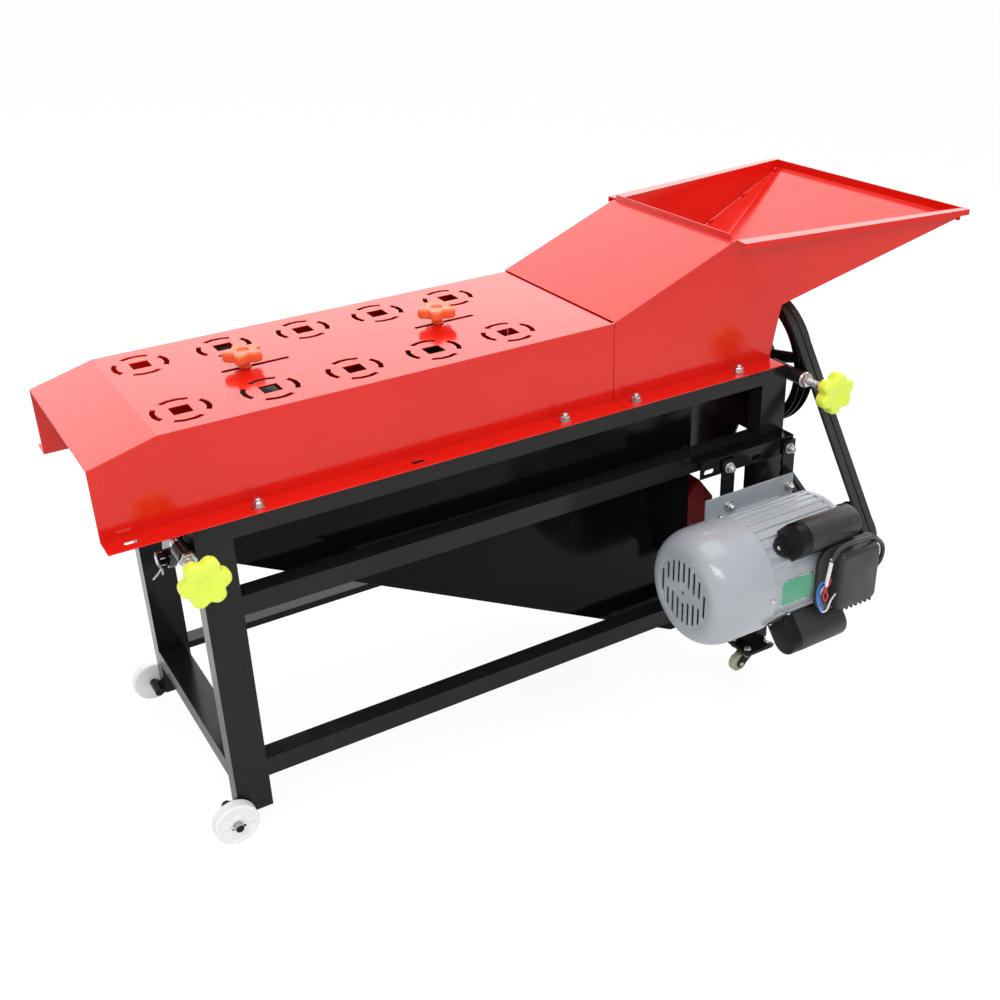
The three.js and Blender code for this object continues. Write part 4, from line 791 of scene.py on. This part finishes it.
def screwPieces(side):
    s = {**screws, **screws[side]}
    spot, back, boss, label = (s["x"], 0, s["z"]), s["back"], s["boss"], side.title()
    near, far = back - s["hubLong"], back - s["thick"]
    hub = [(back, 0), (back, s["hub"]), (back - s["hubDeep"], s["hub"] + 1), (back - s["hubDeep"], 0)]
    star = starKnob(spot, "y", near, far, s["knobRadius"], s["wave"], s["dish"], turnBy=s["turnBy"])
    parts = painted("yellow", star, turnedPiece(hub, spot, "y", 48))
    parts += painted("zinc", threadPiece(spot, "y", back - s["rodIn"], s["rodEnd"], s["rod"], s["rodPitch"]))
    addPiece(f"starKnobScrew{label}", parts, f"screw_knob_{side}")
    parts = painted("zinc", hexPiece(spot, "y", boss - s["nutFrom"], s["nutLong"], s["nut"], 0))
    if side == "right":
        parts += painted("zinc", turnedPiece([(boss - a, r) for a, r in s["flange"]], spot, "y", 48, 0.4))
    addPiece(f"lockNut{label}", parts)
    pad = painted("bright", turnedPiece(s["pad"], spot, "y", 40))
    addPiece(f"thrustPadSkin{label}", pad, f"thrust_pad_{side}")


for side in ("left", "right"):
    screwPieces(side)

bearings = dict(
    faces=((0, -1), (980, 1)), pivot=(0, -95, 421), nut=(-17.1, -10.2, 11, 0.5),
    thread=(-17, -30.2, 8.1, 1.5),
    housing=[(9.6, 9.35), (10.7, 9.35), (10.9, 14), (10.9, 19.15), (0.3, 19.2), (0.3, 17)],
    legs=(
        [(-26.5, -84, 425), (-26.5, -95, 421), (-27, -106, 418), (-32, -111, 412), (-42, -112, 404)],
        [(-26.5, -84, 425), (-26.5, -95, 420), (-27, -106, 415), (-28, -110, 406)],
    ),
    legRadius=1.3,
    stud=[(997.2, 0), (997.2, 12.2), (1000.4, 12.2), (1000.4, 8.4), (1001.6, 8.2), (1001.6, 0)],
)


# Round housings on both end plates, and the studs of the swing arms: the left one
# with its nut and cotter, the right one with its cap.
def bearingPieces():
    b, shells = bearings, []
    for number in range(2, 7):
        centre = (0, (number - rollers["middle"]) * rollers["pitch"], rollers["z"])
        for face, step in b["faces"]:
            profile = [(face + step * a, r) for a, r in b["housing"]]
            shells.append(turnedPiece(profile, centre, "x", 64, 0.5, loop=True))
    shells += [hexPiece(b["pivot"], "x", *b["nut"]), threadPiece(b["pivot"], "x", *b["thread"])]
    legs = [tube(smoothPath(leg, 24), b["legRadius"], 10, (1, 0, 0)) for leg in b["legs"]]
    stud = turnedPiece(b["stud"], b["pivot"], "x", 48, 0.4)
    addPiece("bearingHousings", painted("zinc", *shells) + painted("bright", *legs) + painted("zinc", stud))


bearingPieces()
print("stage: screws, knobs and bearings made")

# Knobs on the cover and the curtains below them

slides = dict(
    left=156, right=456, z=622, gap=0.3, lobes=5, radius=24, wave=5, low=10.5, high=25.2, foot=9,
    footTall=2, neckFrom=3, neck=7.6, dish=2.6, turnBy=22, power=1.0, dishEdge=(0.54, 0.62), stud=4,
    studFrom=619.8, studUp=18,
)
slideStar = ("radius", "wave", "dish", "lobes", "turnBy", "power", "dishEdge")
curtain = dict(
    half=125, holder=(23.6, 21.6, 2, 4), holderZ=609.2, holderRim=(0.6, 0.96),
    flap=(4.6, 93.5, 1.6, 4), flapZ=552, flapRim=(0.4, 0.98),
)


def slidePieces(side):
    s, c = slides, curtain
    x, label = s[side], side.title()
    spot, base = (x, 0, 0), s["z"] + s["gap"]
    top = base + s["low"] + 1
    neck = [
        (base, 0), (base, s["foot"]), (base + s["footTall"], s["foot"]), (base + s["neckFrom"], s["neck"]),
        (top, s["neck"]), (top, 0),
    ]
    star = starKnob(spot, "z", base + s["low"], base + s["high"], *(s[k] for k in slideStar))
    parts = painted("orange", turnedPiece(neck, spot, "z", 56), star)
    addPiece(f"slideKnobSkin{label}", parts, f"slide_knob_{side}")
    parts = []
    for form, paint in (("holder", "black"), ("flap", "rubber")):
        stations = rimmed(-c["half"], c["half"], *c[form + "Rim"])
        parts += painted(paint, slab(c[form], stations, (x, 0, c[form + "Z"]), "y"))
    parts += painted("zinc", threadPiece(spot, "z", s["studFrom"], base + s["studUp"], s["stud"]))
    addPiece(f"pressCurtainSkin{label}", parts, f"press_curtain_{side}")


for side in ("left", "right"):
    slidePieces(side)
print("stage: slide knobs and curtains made")

# Belt drive

drive = dict(
    x=1010, wide=32, bigRadius=117, smallRadius=48, bigCentre=(-69, 466), smallCentre=(-311, 234),
    rimThick=14, hub=26, bore=9.35, spokes=5, spokeTurn=-14, beltWide=12, beltTall=9, proud=1,
    groove=(0.27, 0.73), grooveOver=0.7, grooveUnder=1.2, grooveDeeper=0.4, smallInner=30, edge=1.2,
    boreEdge=0.8,
    arm=dict(
        hubIn=2.5, rimIn=1.5, half=12.5, taper=4.2, rimSwell=5.5, rimReach=0.1, hubSwell=4.0, hubReach=0.12,
    ),
    armThick=6.2, armThins=0.8, key=(5, 4, 0.6, 3), keyUp=9.6, keyProud=0.6,
    web=[(6, 12.35), (6, 31), (23, 31), (23, 22), (31, 20), (31, 12.35)],
    section=[
        (-6, 0.3), (-5.6, 0), (5.6, 0), (6, 0.3), (6, 1.6), (4.6, 8.0), (4.2, 8.4), (-4.2, 8.4), (-4.6, 8.0),
        (-6, 1.6),
    ],
)


# A rim profile of (along, radius): two V grooves outside, a plain bore inside.
def groovedRim(radius, inner, centreYZ, count=128):
    x, end, edge, ease = drive["x"], drive["x"] + drive["wide"], drive["edge"], drive["boreEdge"]
    outside = [(x, radius - edge), (x + edge, radius)]
    for share in drive["groove"]:
        c = x + share * drive["wide"]
        top, low = drive["beltWide"] / 2 + drive["grooveOver"], drive["beltWide"] / 2 - drive["grooveUnder"]
        deep = radius + drive["proud"] - drive["beltTall"] - drive["grooveDeeper"]
        outside += [(c - top, radius), (c - low, deep), (c + low, deep), (c + top, radius)]
    outside += [(end - edge, radius), (end, radius - edge)]
    profile = outside + [(end, inner + ease), (end - ease, inner), (x + ease, inner), (x, inner + ease)]
    return carried(ringOf(count), np.array(profile), (0, *centreYZ), "x", loop=True)


# Rim, hub, five tapering arms whose oval section widens at both ends, and a key.
def bigPulley():
    y, z = drive["bigCentre"]
    x, end, hub, bore = drive["x"], drive["x"] + drive["wide"], drive["hub"], drive["bore"]
    inner = drive["bigRadius"] - drive["rimThick"]
    hubProfile = [(x, bore), (x, hub - 1), (x + 1, hub), (end - 1, hub), (end, hub - 1), (end, bore)]
    shells = [
        groovedRim(drive["bigRadius"], inner, (y, z)),
        carried(ringOf(72), hubProfile, (0, y, z), "x", loop=True),
    ]
    arm = drive["arm"]
    reach = np.linspace(hub - arm["hubIn"], inner + arm["rimIn"], 26)
    share = (reach - reach[0]) / (reach[-1] - reach[0])
    rimSwell = arm["rimSwell"] * np.exp(-((1 - share) / arm["rimReach"]) ** 2)
    hubSwell = arm["hubSwell"] * np.exp(-(share / arm["hubReach"]) ** 2)
    half = arm["half"] - arm["taper"] * share + rimSwell + hubSwell
    thick = drive["armThick"] - drive["armThins"] * share
    ring = ringOf(28)
    for i in range(drive["spokes"]):
        a = i / drive["spokes"] * 2 * math.pi + math.radians(drive["spokeTurn"]) + math.pi
        along = np.array([0, math.cos(a), math.sin(a)])
        across = np.array([0, -math.sin(a), math.cos(a)])
        shells.append(closedGrid(
            np.array([x + drive["wide"] / 2, y, z]) + reach[:, None, None] * along
            + half[:, None, None] * ring[None, :, :1] * across
            + thick[:, None, None] * ring[None, :, 1:] * np.array([1.0, 0, 0])
        ))
    key = slab(drive["key"], plain(x + 1, end + drive["keyProud"]), (0, y, z + drive["keyUp"]), "x")
    addPiece("bigPulley", painted("black", *shells) + painted("bright", key), "drive_pulley")


def smallPulley():
    y, z = drive["smallCentre"]
    web = turnedPiece([(drive["x"] + a, r) for a, r in drive["web"]], (0, y, z), "x", 72, 1.5, loop=True)
    rim = groovedRim(drive["smallRadius"], drive["smallInner"], (y, z), 96)
    addPiece("smallPulley", painted("black", rim, web), "motor_pulley")


# A loop of constant section round both pulleys: straight runs and two arcs, wide outside, narrow inside.
def beltPieces():
    big, small = np.array(drive["bigCentre"], float), np.array(drive["smallCentre"], float)
    gap = small - big
    heading = math.atan2(gap[1], gap[0])
    rBig, rSmall = drive["bigRadius"] + drive["proud"], drive["smallRadius"] + drive["proud"]
    lean = math.acos((rBig - rSmall) / np.linalg.norm(gap))
    bigArc = np.linspace(heading + lean, heading + 2 * math.pi - lean, 150)
    smallArc = np.linspace(heading - lean, heading + lean, 70)
    bigOut, smallOut = (np.stack([np.cos(arc), np.sin(arc)], 1) for arc in (bigArc, smallArc))
    outer = np.concatenate([big + rBig * bigOut, small + rSmall * smallOut])
    inward = -np.concatenate([bigOut, smallOut])
    section = np.array(drive["section"])
    for share, label in zip(drive["groove"], ("Inner", "Outer")):
        flat = outer[:, None] + inward[:, None] * section[None, :, 1:]
        along = np.broadcast_to(drive["x"] + share * drive["wide"] + section[None, :, 0], flat.shape[:2])
        loop = closedGrid(np.concatenate([along[..., None], flat], axis=2), loopU=True)
        addPiece(f"driveBelt{label}", painted("rubber", loop), f"drive_belt_{label.lower()}", sharp=30)


bigPulley()
smallPulley()
beltPieces()
print("stage: belt drive made")

# Motor, about its own axis

motor = dict(
    y=-311, z=234, bodyStart=792, bodyEnd=948, body=86, fin=3, fins=34, coverFront=686, coverBack=790,
    cover=93, disc=63, dome=732, lip=58.5, sheet=1.5, footFace=85.4, footGap=0.35,
    slotPitch=12.3, slotWide=5.5, slotReach=53, slotHub=17.5, slotHalf=8, slotColumns=4, cutDeep=14,
    centreHole=3, finRows=1020, finSharp=1.8, finLift=0.25, finPower=0.7, plateHalf=0.52, footHalf=0.62,
    quiet=0.55,
    domeSteps=28, domePower=0.9,
    bell=[
        (0, 0), (0, 87.6), (1, 88.6), (9, 88.6), (10, 87.4), (17, 82.5), (27, 60), (31, 52), (36, 46),
        (38, 44), (38, 20), (36.5, 19), (36.5, 0),
    ],
    spigot=[(-8, 0), (-8, 91), (-0.5, 91), (-0.5, 88.8), (1, 88.4), (1, 0)],
    bellBolts=(45, 135, 225, 315), boltRing=74, coverScrews=(68, 180, 292), screwX=783,
    screwDome=[(92.2, 0), (92.2, 4.4), (94.0, 4.2), (95.3, 2.6), (95.6, 0)],
    shaft=(704, 1043, 12), fanDisc=(712, 715, 57), blades=8, blade=(712, 733), bladeOutline=(2.4, 46, 1, 4),
    bladeUp=35,
)
motorAxis = (0, motor["y"], motor["z"])


# Radius r(angle) over the length: round-topped fins on a drum, smooth where the nameplate and foot sit.
def finnedBody():
    m = motor
    t = np.arange(m["finRows"]) / m["finRows"] * 2 * math.pi

    def near(middle, half):
        return np.exp(-(((np.mod(t - middle + math.pi, 2 * math.pi) - math.pi) / half) ** 8))

    fin = np.clip(np.cos(t * m["fins"]) * m["finSharp"] + m["finLift"], 0, 1) ** m["finPower"]
    quiet = np.clip(near(math.pi, m["plateHalf"]) + near(0, m["footHalf"]), 0, 1)
    low, high = m["body"] - 0.2, m["body"] + m["fin"] - 0.1
    r = low + (high - low) * (fin * (1 - quiet) + quiet * m["quiet"])
    ring = np.stack([np.cos(t), np.sin(t)], axis=1) * r[:, None]
    stations = rimmed(m["bodyStart"], m["bodyEnd"], 1.5, 0.97)
    points, quads = carried(ring, stations, (0, 0, 0), "x")
    points[:, 1] = np.minimum(points[:, 1], m["footFace"] - m["footGap"])
    return points + np.array(motorAxis), quads


# A small shape stood on the drum: its own z runs out from the motor's axis at the angle.
def onDrum(shell, x, angle):
    p, quads = shell
    ca, sa = math.cos(angle), math.sin(angle)
    spun = np.stack([p[:, 0], p[:, 2] * ca - p[:, 1] * sa, p[:, 2] * sa + p[:, 1] * ca], 1)
    return spun + np.array([x, *motorAxis[1:]]), quads


# Rows of upright obround slots that keep clear of a hub circle and a middle bar, and a hole on the axis.
def slotCutters():
    shells = []
    stations = plain(-motor["cutDeep"], motor["cutDeep"])
    for column in range(-motor["slotColumns"], motor["slotColumns"] + 1):
        across = column * motor["slotPitch"]
        reach = math.sqrt(motor["slotReach"] ** 2 - across**2)
        inner = max(motor["slotHalf"], math.sqrt(max(motor["slotHub"] ** 2 - across**2, 0)))
        single = abs(column) == motor["slotColumns"]
        for low, high in [(-reach, reach)] if single else [(-reach, -inner), (inner, reach)]:
            middle = (motor["coverFront"], motor["y"] + across, motor["z"] + (low + high) / 2)
            outline = (motor["slotWide"], high - low, motor["slotWide"] / 2 - 0.01, 8)
            shells.append(slab(outline, stations, middle, "x"))
    hole = plain(-motor["cutDeep"], motor["cutDeep"], motor["centreHole"])
    shells.append(carried(ringOf(24), hole, (motor["coverFront"], *motorAxis[1:]), "x"))
    return painted("motorGrey", *shells)


# A drum whose front rounds over on a quarter ellipse to a flat slotted disc.
def fanCoverPiece():
    t = np.linspace(0, math.pi / 2, motor["domeSteps"])
    front, back, dome, disc, cover, lip = (
        motor[k] for k in ("coverFront", "coverBack", "dome", "disc", "cover", "lip")
    )

    def domeCurve(gap):
        along = dome - (dome - front - gap) * np.sin(t)
        return np.stack([along, disc + (cover - gap - disc) * np.cos(t) ** motor["domePower"]], 1)

    rear = [(back - 0.5, cover - 1.4), (back, cover - 0.9), (back, cover - 0.4), (back - 0.5, cover)]
    lipOut = [(front, lip + 3.5), (front, lip), (front + 0.7, lip - 1), (front + 0.7, 0)]
    lipIn = [(front + 2.2, 0), (front + 2.2, lip + 3.5)]
    profile = np.concatenate([rear, domeCurve(0), lipOut, lipIn, domeCurve(motor["sheet"])[::-1]])
    drum = painted("motorGrey", carried(ringOf(144), profile, motorAxis, "x", loop=True))
    shell = newObject("fanCoverShell", shellMesh("fanCoverShell", drum))
    cutter = newObject("fanCoverSlots", shellMesh("fanCoverSlots", slotCutters()))
    cut = shell.modifiers.new("slots", "BOOLEAN")
    cut.operation = "DIFFERENCE"
    cut.solver = "EXACT"
    cut.object = cutter
    mesh = bpy.data.meshes.new_from_object(shell.evaluated_get(bpy.context.evaluated_depsgraph_get()))
    for thing in (shell, cutter):
        bpy.data.objects.remove(thing)
    mesh.materials.clear()
    mesh.materials.append(paints["motorGrey"])
    finishPiece("fanCoverSkin", mesh, "fan_cover", sharp=30)


def motorPieces():
    m, start = motor, motor["bodyEnd"] - 1
    bell = turnedPiece([(start + a, r) for a, r in m["bell"]], motorAxis, "x", 120, 2.2)
    bell[0][:, 1] = np.minimum(bell[0][:, 1], m["y"] + m["footFace"] - m["footGap"])
    spigot = turnedPiece([(m["bodyStart"] + a, r) for a, r in m["spigot"]], motorAxis, "x", 120, 0.4)
    parts = painted("motorGrey", finnedBody(), bell, spigot)
    for a in m["bellBolts"]:
        cy = m["y"] + m["boltRing"] * math.cos(math.radians(a))
        cz = m["z"] + m["boltRing"] * math.sin(math.radians(a))
        parts += painted("zinc", hexPiece((0, cy, cz), "x", start + 13, 5, 6.2, a))
    addPiece("motorDrum", parts, "motor_body", sharp=42)
    dome = turnedPiece(m["screwDome"], (0, 0, 0), "z", 24, 0.3)
    screwHeads = [onDrum(dome, m["screwX"], math.radians(a)) for a in m["coverScrews"]]
    addPiece("fanCoverScrews", painted("zinc", *screwHeads))
    points, quads = slab(m["bladeOutline"], plain(*m["blade"]), (0, m["y"], m["z"] + m["bladeUp"]), "x")
    angles = [i / m["blades"] * 2 * math.pi for i in range(m["blades"])]
    spread = [(turnedAbout(points, motorAxis, angle), quads) for angle in angles]
    disc = turnedPiece(plain(*m["fanDisc"]), motorAxis, "x", 64, 0.4)
    parts = painted("bright", turnedPiece(plain(*m["shaft"]), motorAxis, "x", 48))
    addPiece("rotorAndFan", parts + painted("blackPlastic", disc, *spread), "motor_rotor")


# A thin curved sheet on the drum, between two places along it and half as wide as given either way.
def curvedSheet(start, end, half, low, high):
    across = np.linspace(-half, half, 30) / high + math.pi
    a, b = np.meshgrid(np.linspace(start, end, 34), across, indexing="ij")
    top, bottom = (
        np.stack([a, motor["y"] + r * np.cos(b), motor["z"] - r * np.sin(b)], axis=2) for r in (high, low)
    )
    shell = np.concatenate([bottom[:1], top, bottom[-1:]], axis=0)
    left, right = (
        np.concatenate([bottom[:1, k], bottom[:, k], bottom[-1:, k]], axis=0)
        for k in (slice(0, 1), slice(-1, None))
    )
    return closedGrid(np.concatenate([left, shell, right], axis=1), loopV=False)


tag = dict(
    start=803, end=866, half=22, border=1.1, low=87.6, high=88.7, proud=0.2, rivetIn=3,
    rivet=[(88.4, 0), (88.4, 1.5), (89.4, 1.2), (89.7, 0)],
)


# A bare tag with a bright border, riveted to the drum.
def namePlate():
    s, rim = tag, tag["border"]
    start, end, half, low, high = (s[k] for k in ("start", "end", "half", "low", "high"))
    parts = painted("bright", curvedSheet(start, end, half, low, high))
    parts += painted("tag", curvedSheet(start + rim, end - rim, half - rim, low, high + s["proud"]))
    rivet = turnedPiece(s["rivet"], (0, 0, 0), "z", 16, 0.2)
    for x in (start + s["rivetIn"], end - s["rivetIn"]):
        for side in (-1, 1):
            angle = math.pi + side * (half - s["rivetIn"]) / high
            parts += painted("bright", onDrum(rivet, x, -angle))
    addPiece("bareTag", parts, slotName="motor_paint")


capacitors = dict(
    cap=18, base=88.4, capStations=[(0, 0), (0, 0.9), (0.6, 0.955), (2.2, 0.985)],
    seamStations=[(0.1, 0), (0.1, 0.99), (0.8, 1)],
    canStations=[(8, 0.985), (3, 0.965), (0.8, 0.925), (0, 0.86), (0, 0)],
    ear=[(6, -20), (6, 20), (-6, 17), (-17, 8), (-17, -8), (-6, -17)],
    earStations=[(0.2, 0), (0.2, 1), (2.6, 1), (3.0, 0.985), (3.0, 0)],
    screwDome=[(-0.4, 0), (-0.4, 3.6), (0.9, 3.4), (2.0, 2.2), (2.3, 0)],
    upper=dict(radius=26.0, start=826, long=116, out=115, angle=43),
    lower=dict(radius=25.0, start=823, long=112, out=121, angle=41),
)


# A can with a round outer side and flat cheeks down to the drum, a darker end cap, and a tapering ear with
# its screw. The lower one has a second screw beside the can.
def capacitorPiece(which):
    c = {**capacitors, **capacitors[which]}
    r, base, low = c["radius"], c["base"], c["base"] - c["out"]
    floor = np.stack([np.linspace(-r, r, 14)[1:-1], np.full(12, low)], 1)
    outline = np.concatenate([[(r, low)], ringOf(80)[:41] * r, [(-r, low)], floor])
    start, seam, end = c["start"], c["start"] + c["cap"], c["start"] + c["long"]
    angle = math.radians(c["angle"] if which == "upper" else 180 - c["angle"])
    cap = [(start + a, s) for a, s in c["capStations"]] + [(seam, 0.985), (seam, 0)]
    can = [(seam + a, s) for a, s in c["seamStations"]] + [(end - a, s) for a, s in c["canStations"]]
    above = (0, 0, c["out"])
    ear = np.array([(start + a, b) for a, b in c["ear"]])
    middle = ear.mean(0)
    ear = eased(ear - middle, 2.5, 4, loop=True)
    parts = painted("endCap", carried(outline, cap, above, "x"))
    parts += painted("satinPlastic", carried(outline, can, above, "x"))
    earStations = [(base + a, s) for a, s in c["earStations"]]
    parts += painted("blackPlastic", carried(ear, earStations, (*middle, 0), "z"))
    for spot in [(start - 10, 0, base + 3)] + ([(start + 7, r + 4.5, base - 2)] if which == "lower" else []):
        parts += painted("zinc", turnedPiece(c["screwDome"], spot, "z", 24, 0.3))
    parts = [(turnedAbout(pts, (0, 0, 0), angle) + np.array(motorAxis), *rest) for pts, *rest in parts]
    addPiece(f"capacitor{which.title()}Skin", parts, f"capacitor_{which}", sharp=30)


# Depths are counted from `back`, the drum's side, towards the front.
terminalBox = dict(
    back=-89.3, up=4, baseX=928, base=(120, 112, 26, 12), lidX=933, lid=(80, 100, 10, 10),
    baseStations=[(0, 0), (0, 0.99), (1, 1), (6, 1), (7, 0.985), (7, 0)],
    lidStations=[(1, 0), (1, 1), (12, 1), (22, 0.985), (27, 0.955), (29.4, 0.9), (30, 0.84), (30, 0)],
    ribs=7, ribX=904, ribPitch=9.6, ribUp=-37, rib=(3.4, 20, 1.6, 5),
    ribStations=[(14, 0), (14, 1), (28.6, 1), (29.4, 0.8), (29.4, 0)],
    screwAcross=(-28, 28), screwUp=38, screw=[(28, 0), (28, 4), (29.9, 3.8), (29.9, 0)],
)


# A rounded tub with drafted sides on a wider base plate, with ribs low on the front and two screws.
def terminalBoxPiece():
    b, z = terminalBox, motor["z"]
    y0, middle = motor["y"] + b["back"], z + b["up"]

    def depths(key):
        return [(y0 - a, s) for a, s in b[key]]

    shells = [
        slab(b[form], depths(form + "Stations"), (b[form + "X"], 0, middle), "y") for form in ("base", "lid")
    ]
    for i in range(b["ribs"]):
        spot = (b["ribX"] + i * b["ribPitch"], 0, z + b["ribUp"])
        shells.append(slab(b["rib"], depths("ribStations"), spot, "y"))
    heads = [
        turnedPiece(depths("screw"), (b["lidX"] + dx, 0, middle + b["screwUp"]), "y", 24, 0.4)
        for dx in b["screwAcross"]
    ]
    addPiece("terminalBoxSkin", painted("satinPlastic", *shells) + painted("zinc", *heads), "terminal_box")


# Bolts are (height, front face, back face).
straps = dict(
    left=842, right=967, front=-221.3, back=-217.3, z=266, outline=(25, 228, 1.2, 3), rim=(0.3, 0.998),
    bolts=((366, -221.3, -214), (300, -225.6, -217.3), (168, -225.6, -217.3)),
    washer=(0.2, 1.6), nutFrom=1.8, threadFront=13.2, threadBack=5, head=(0.3, 6),
)


# Two flat straps with their nuts, washers and threads, seen on the motor side.
def strapPiece(side):
    s, x = straps, straps[side]
    stations = rimmed(s["front"], s["back"], *s["rim"])
    parts = painted("black", slab(s["outline"], stations, (x, 0, s["z"]), "y"))
    for z, front, back in s["bolts"]:
        spot = (x, 0, z)
        parts += painted(
            "zinc",
            washerPiece(spot, "y", front - s["washer"][0], -s["washer"][1], bolts["washer"]),
            hexPiece(spot, "y", front - s["nutFrom"], -bolts["nutTall"], bolts["nut"], z),
            threadPiece(spot, "y", front - s["threadFront"], back + s["threadBack"], bolts["shank"]),
            hexPiece(spot, "y", back + s["head"][0], s["head"][1], bolts["head"], x),
        )
    addPiece(f"hangerStrap{side.title()}", parts, f"hanger_strap_{side}")


motorPieces()
fanCoverPiece()
namePlate()
capacitorPiece("upper")
capacitorPiece("lower")
terminalBoxPiece()
strapPiece("left")
strapPiece("right")
print("stage: motor made")

# Wheels and casters

wheels = dict(
    x=-10.5, z=39, radius=32.45, bore=6.35, round=2, rim=27, rimIn=26, hub=12.2, hubOut=13.2, wide=18,
    inner=192.5, recess=1.8, ribs=6, rib=(14.6, 2.2, 0.8, 4), ribAt=19.6, stub=6.0, stubFrom=190,
    stubTip=219.5, pinIn=4.5, pinHalf=9.5, pinTilt=1.6, pin=1.4,
)


# Tread, web and hub turned on one axis, with faint ribs across the shallow recess of the outer face.
def wheelPiece(side):
    w, label = wheels, "Front" if side < 0 else "Back"
    x, z, radius, recess, bore = w["x"], w["z"], w["radius"], side * w["recess"], w["bore"]
    n, o, soft = side * w["inner"], side * (w["inner"] + w["wide"]), side * w["round"]
    profile = [
        (n, bore), (n, radius - w["round"]), (n + soft, radius), (o - soft, radius), (o, radius - w["round"]),
        (o, w["rim"]), (o - recess, w["rimIn"]), (o - recess, w["hubOut"]), (o, w["hub"]), (o, bore),
    ]
    deep, lip, face = o - recess - side * 0.6, o - side * 0.5, o - side * 0.3
    stations = [(deep, 0), (deep, 1), (lip, 1), (face, 0.9), (face, 0)][::side]
    points, quads = slab(w["rib"], stations, (x + w["ribAt"], 0, z), "y")
    turns = [i / w["ribs"] * 2 * math.pi for i in range(w["ribs"])]
    ribs = [(turnedAbout(points, (x, 0, z), angle, "y"), quads) for angle in turns]
    tread = turnedPiece(profile, (x, 0, z), "y", 96, 0.9, loop=True)
    addPiece(f"travelWheel{label}", painted("nylon", tread, *ribs), f"wheel_{label.lower()}")
    tip = side * w["stubTip"]
    stub = turnedPiece(plain(side * w["stubFrom"], tip, w["stub"])[::side], (x, 0, z), "y", 40, 1.0)
    y, half, tilt = tip - side * w["pinIn"], w["pinHalf"], w["pinTilt"]
    pin = tube([(x - half, y, z + tilt), (x, y, z), (x + half, y, z - tilt)], w["pin"], 12, (0, 1, 0))
    addPiece(f"axleEnd{label}", painted("steel", stub) + painted("zinc", pin))


caster = dict(
    x=945, y=187, foot=-25, gap=0.3, trail=27, drop=29, radius=16.94, wide=14, plate=(60, 56, 3, 4),
    plateTall=3, plateRim=(0.4, 0.99), race=[(-6, 0), (-6, 12.5), (-5, 14), (-2, 14), (-2, 0)],
    boltAcross=(-22, 22), boltAlong=(-18, 18), hex=6.6, crownDrop=6.3,
    crown=[(-2.5, 0), (-2.5, 13), (-1, 14), (0, 13.4), (0, 0)],
    armIn=8, armOut=10.5, armRim=(0.4, 0.98), armTop=[(-15.5, -1.6), (6.8, -1.6), (6.8, -4)],
    armLow=[(-19.6, -3.5), (-22, -7), (-27, -7.9), (-32, -6.6), (-34.6, -2), (-34.6, 2), (-31, 7)],
    web=[(0, 4.35), (0, 7.5), (1.4, 8.3)], tread=[(1.4, 4.6), (0, 3.8), (0, 2.6), (2.4, 0.2)],
    nutAt=12.3, nutTall=2.6, nut=5, pinHalf=11, pin=4,
)


# Top plate and bolts on the frame, a pressed fork on its race, a turned wheel on its pin.
def casterPieces(side):
    c, label = caster, "Front" if side < 0 else "Back"
    low, x, y = label.lower(), c["x"], side * c["y"]
    top = c["foot"] - c["gap"]
    plate = slab(c["plate"], rimmed(top - c["plateTall"], top, *c["plateRim"]), (x, y, 0), "z")
    shells = [turnedPiece([(top + a, r) for a, r in c["race"]], (x, y, 0), "z", 56)]
    for dx in c["boltAcross"]:
        for dy in c["boltAlong"]:
            spot = (x + dx, y + dy, 0)
            shells += [
                hexPiece(spot, "z", top - 3.2, -4.2, c["hex"], dx),
                hexPiece(spot, "z", -21.6, 5.4, c["hex"], dy),
                threadPiece(spot, "z", -17, -15.2, bolts["shank"]),
                threadPiece(spot, "z", top - 10.2, top - 6, bolts["shank"]),
            ]
    addPiece(f"casterPlate{label}", painted("black", plate) + painted("zinc", *shells), f"caster_plate_{low}")
    crown, pin = top - c["crownDrop"], c["foot"] - c["drop"]
    shells = [turnedPiece([(crown + a, r) for a, r in c["crown"]], (x, y, 0), "z", 56, 0.6)]
    corners = np.array([(a, crown + b) for a, b in c["armTop"]] + [(a, pin + b) for a, b in c["armLow"]])
    middle = corners.mean(0)
    soft = eased(corners - middle, 2.5, 5, loop=True)
    for s in (-1, 1):
        stations = rimmed(y + s * c["armIn"], y + s * c["armOut"], *c["armRim"])
        shells.append(carried(soft, stations, (x + middle[0], 0, middle[1]), "y"))
    hub, h = (x - c["trail"], 0, pin), c["pinHalf"]
    nuts = [hexPiece(hub, "y", y + s * c["nutAt"], -s * c["nutTall"], c["nut"], 0) for s in (-1, 1)]
    axle = turnedPiece(plain(y - h, y + h, c["pin"]), hub, "y", 24, 0.3)
    parts = painted("black", *shells) + painted("zinc", *nuts, axle)
    addPiece(f"casterFork{label}", parts, f"caster_fork_{low}")
    r, h = c["radius"], c["wide"] / 2
    half = [(h - a, b) for a, b in c["web"]] + [(h - a, r - b) for a, b in c["tread"]] + [(0, r)]
    profile = [(y - a, b) for a, b in half] + [(y + a, b) for a, b in half[-2::-1]]
    wheel = turnedPiece(profile, hub, "y", 72, 0.6, loop=True)
    addPiece(f"casterWheel{label}", painted("cream", wheel), f"caster_wheel_{low}")


for side in (-1, 1):
    wheelPiece(side)
    casterPieces(side)
print("stage: wheels and casters made")
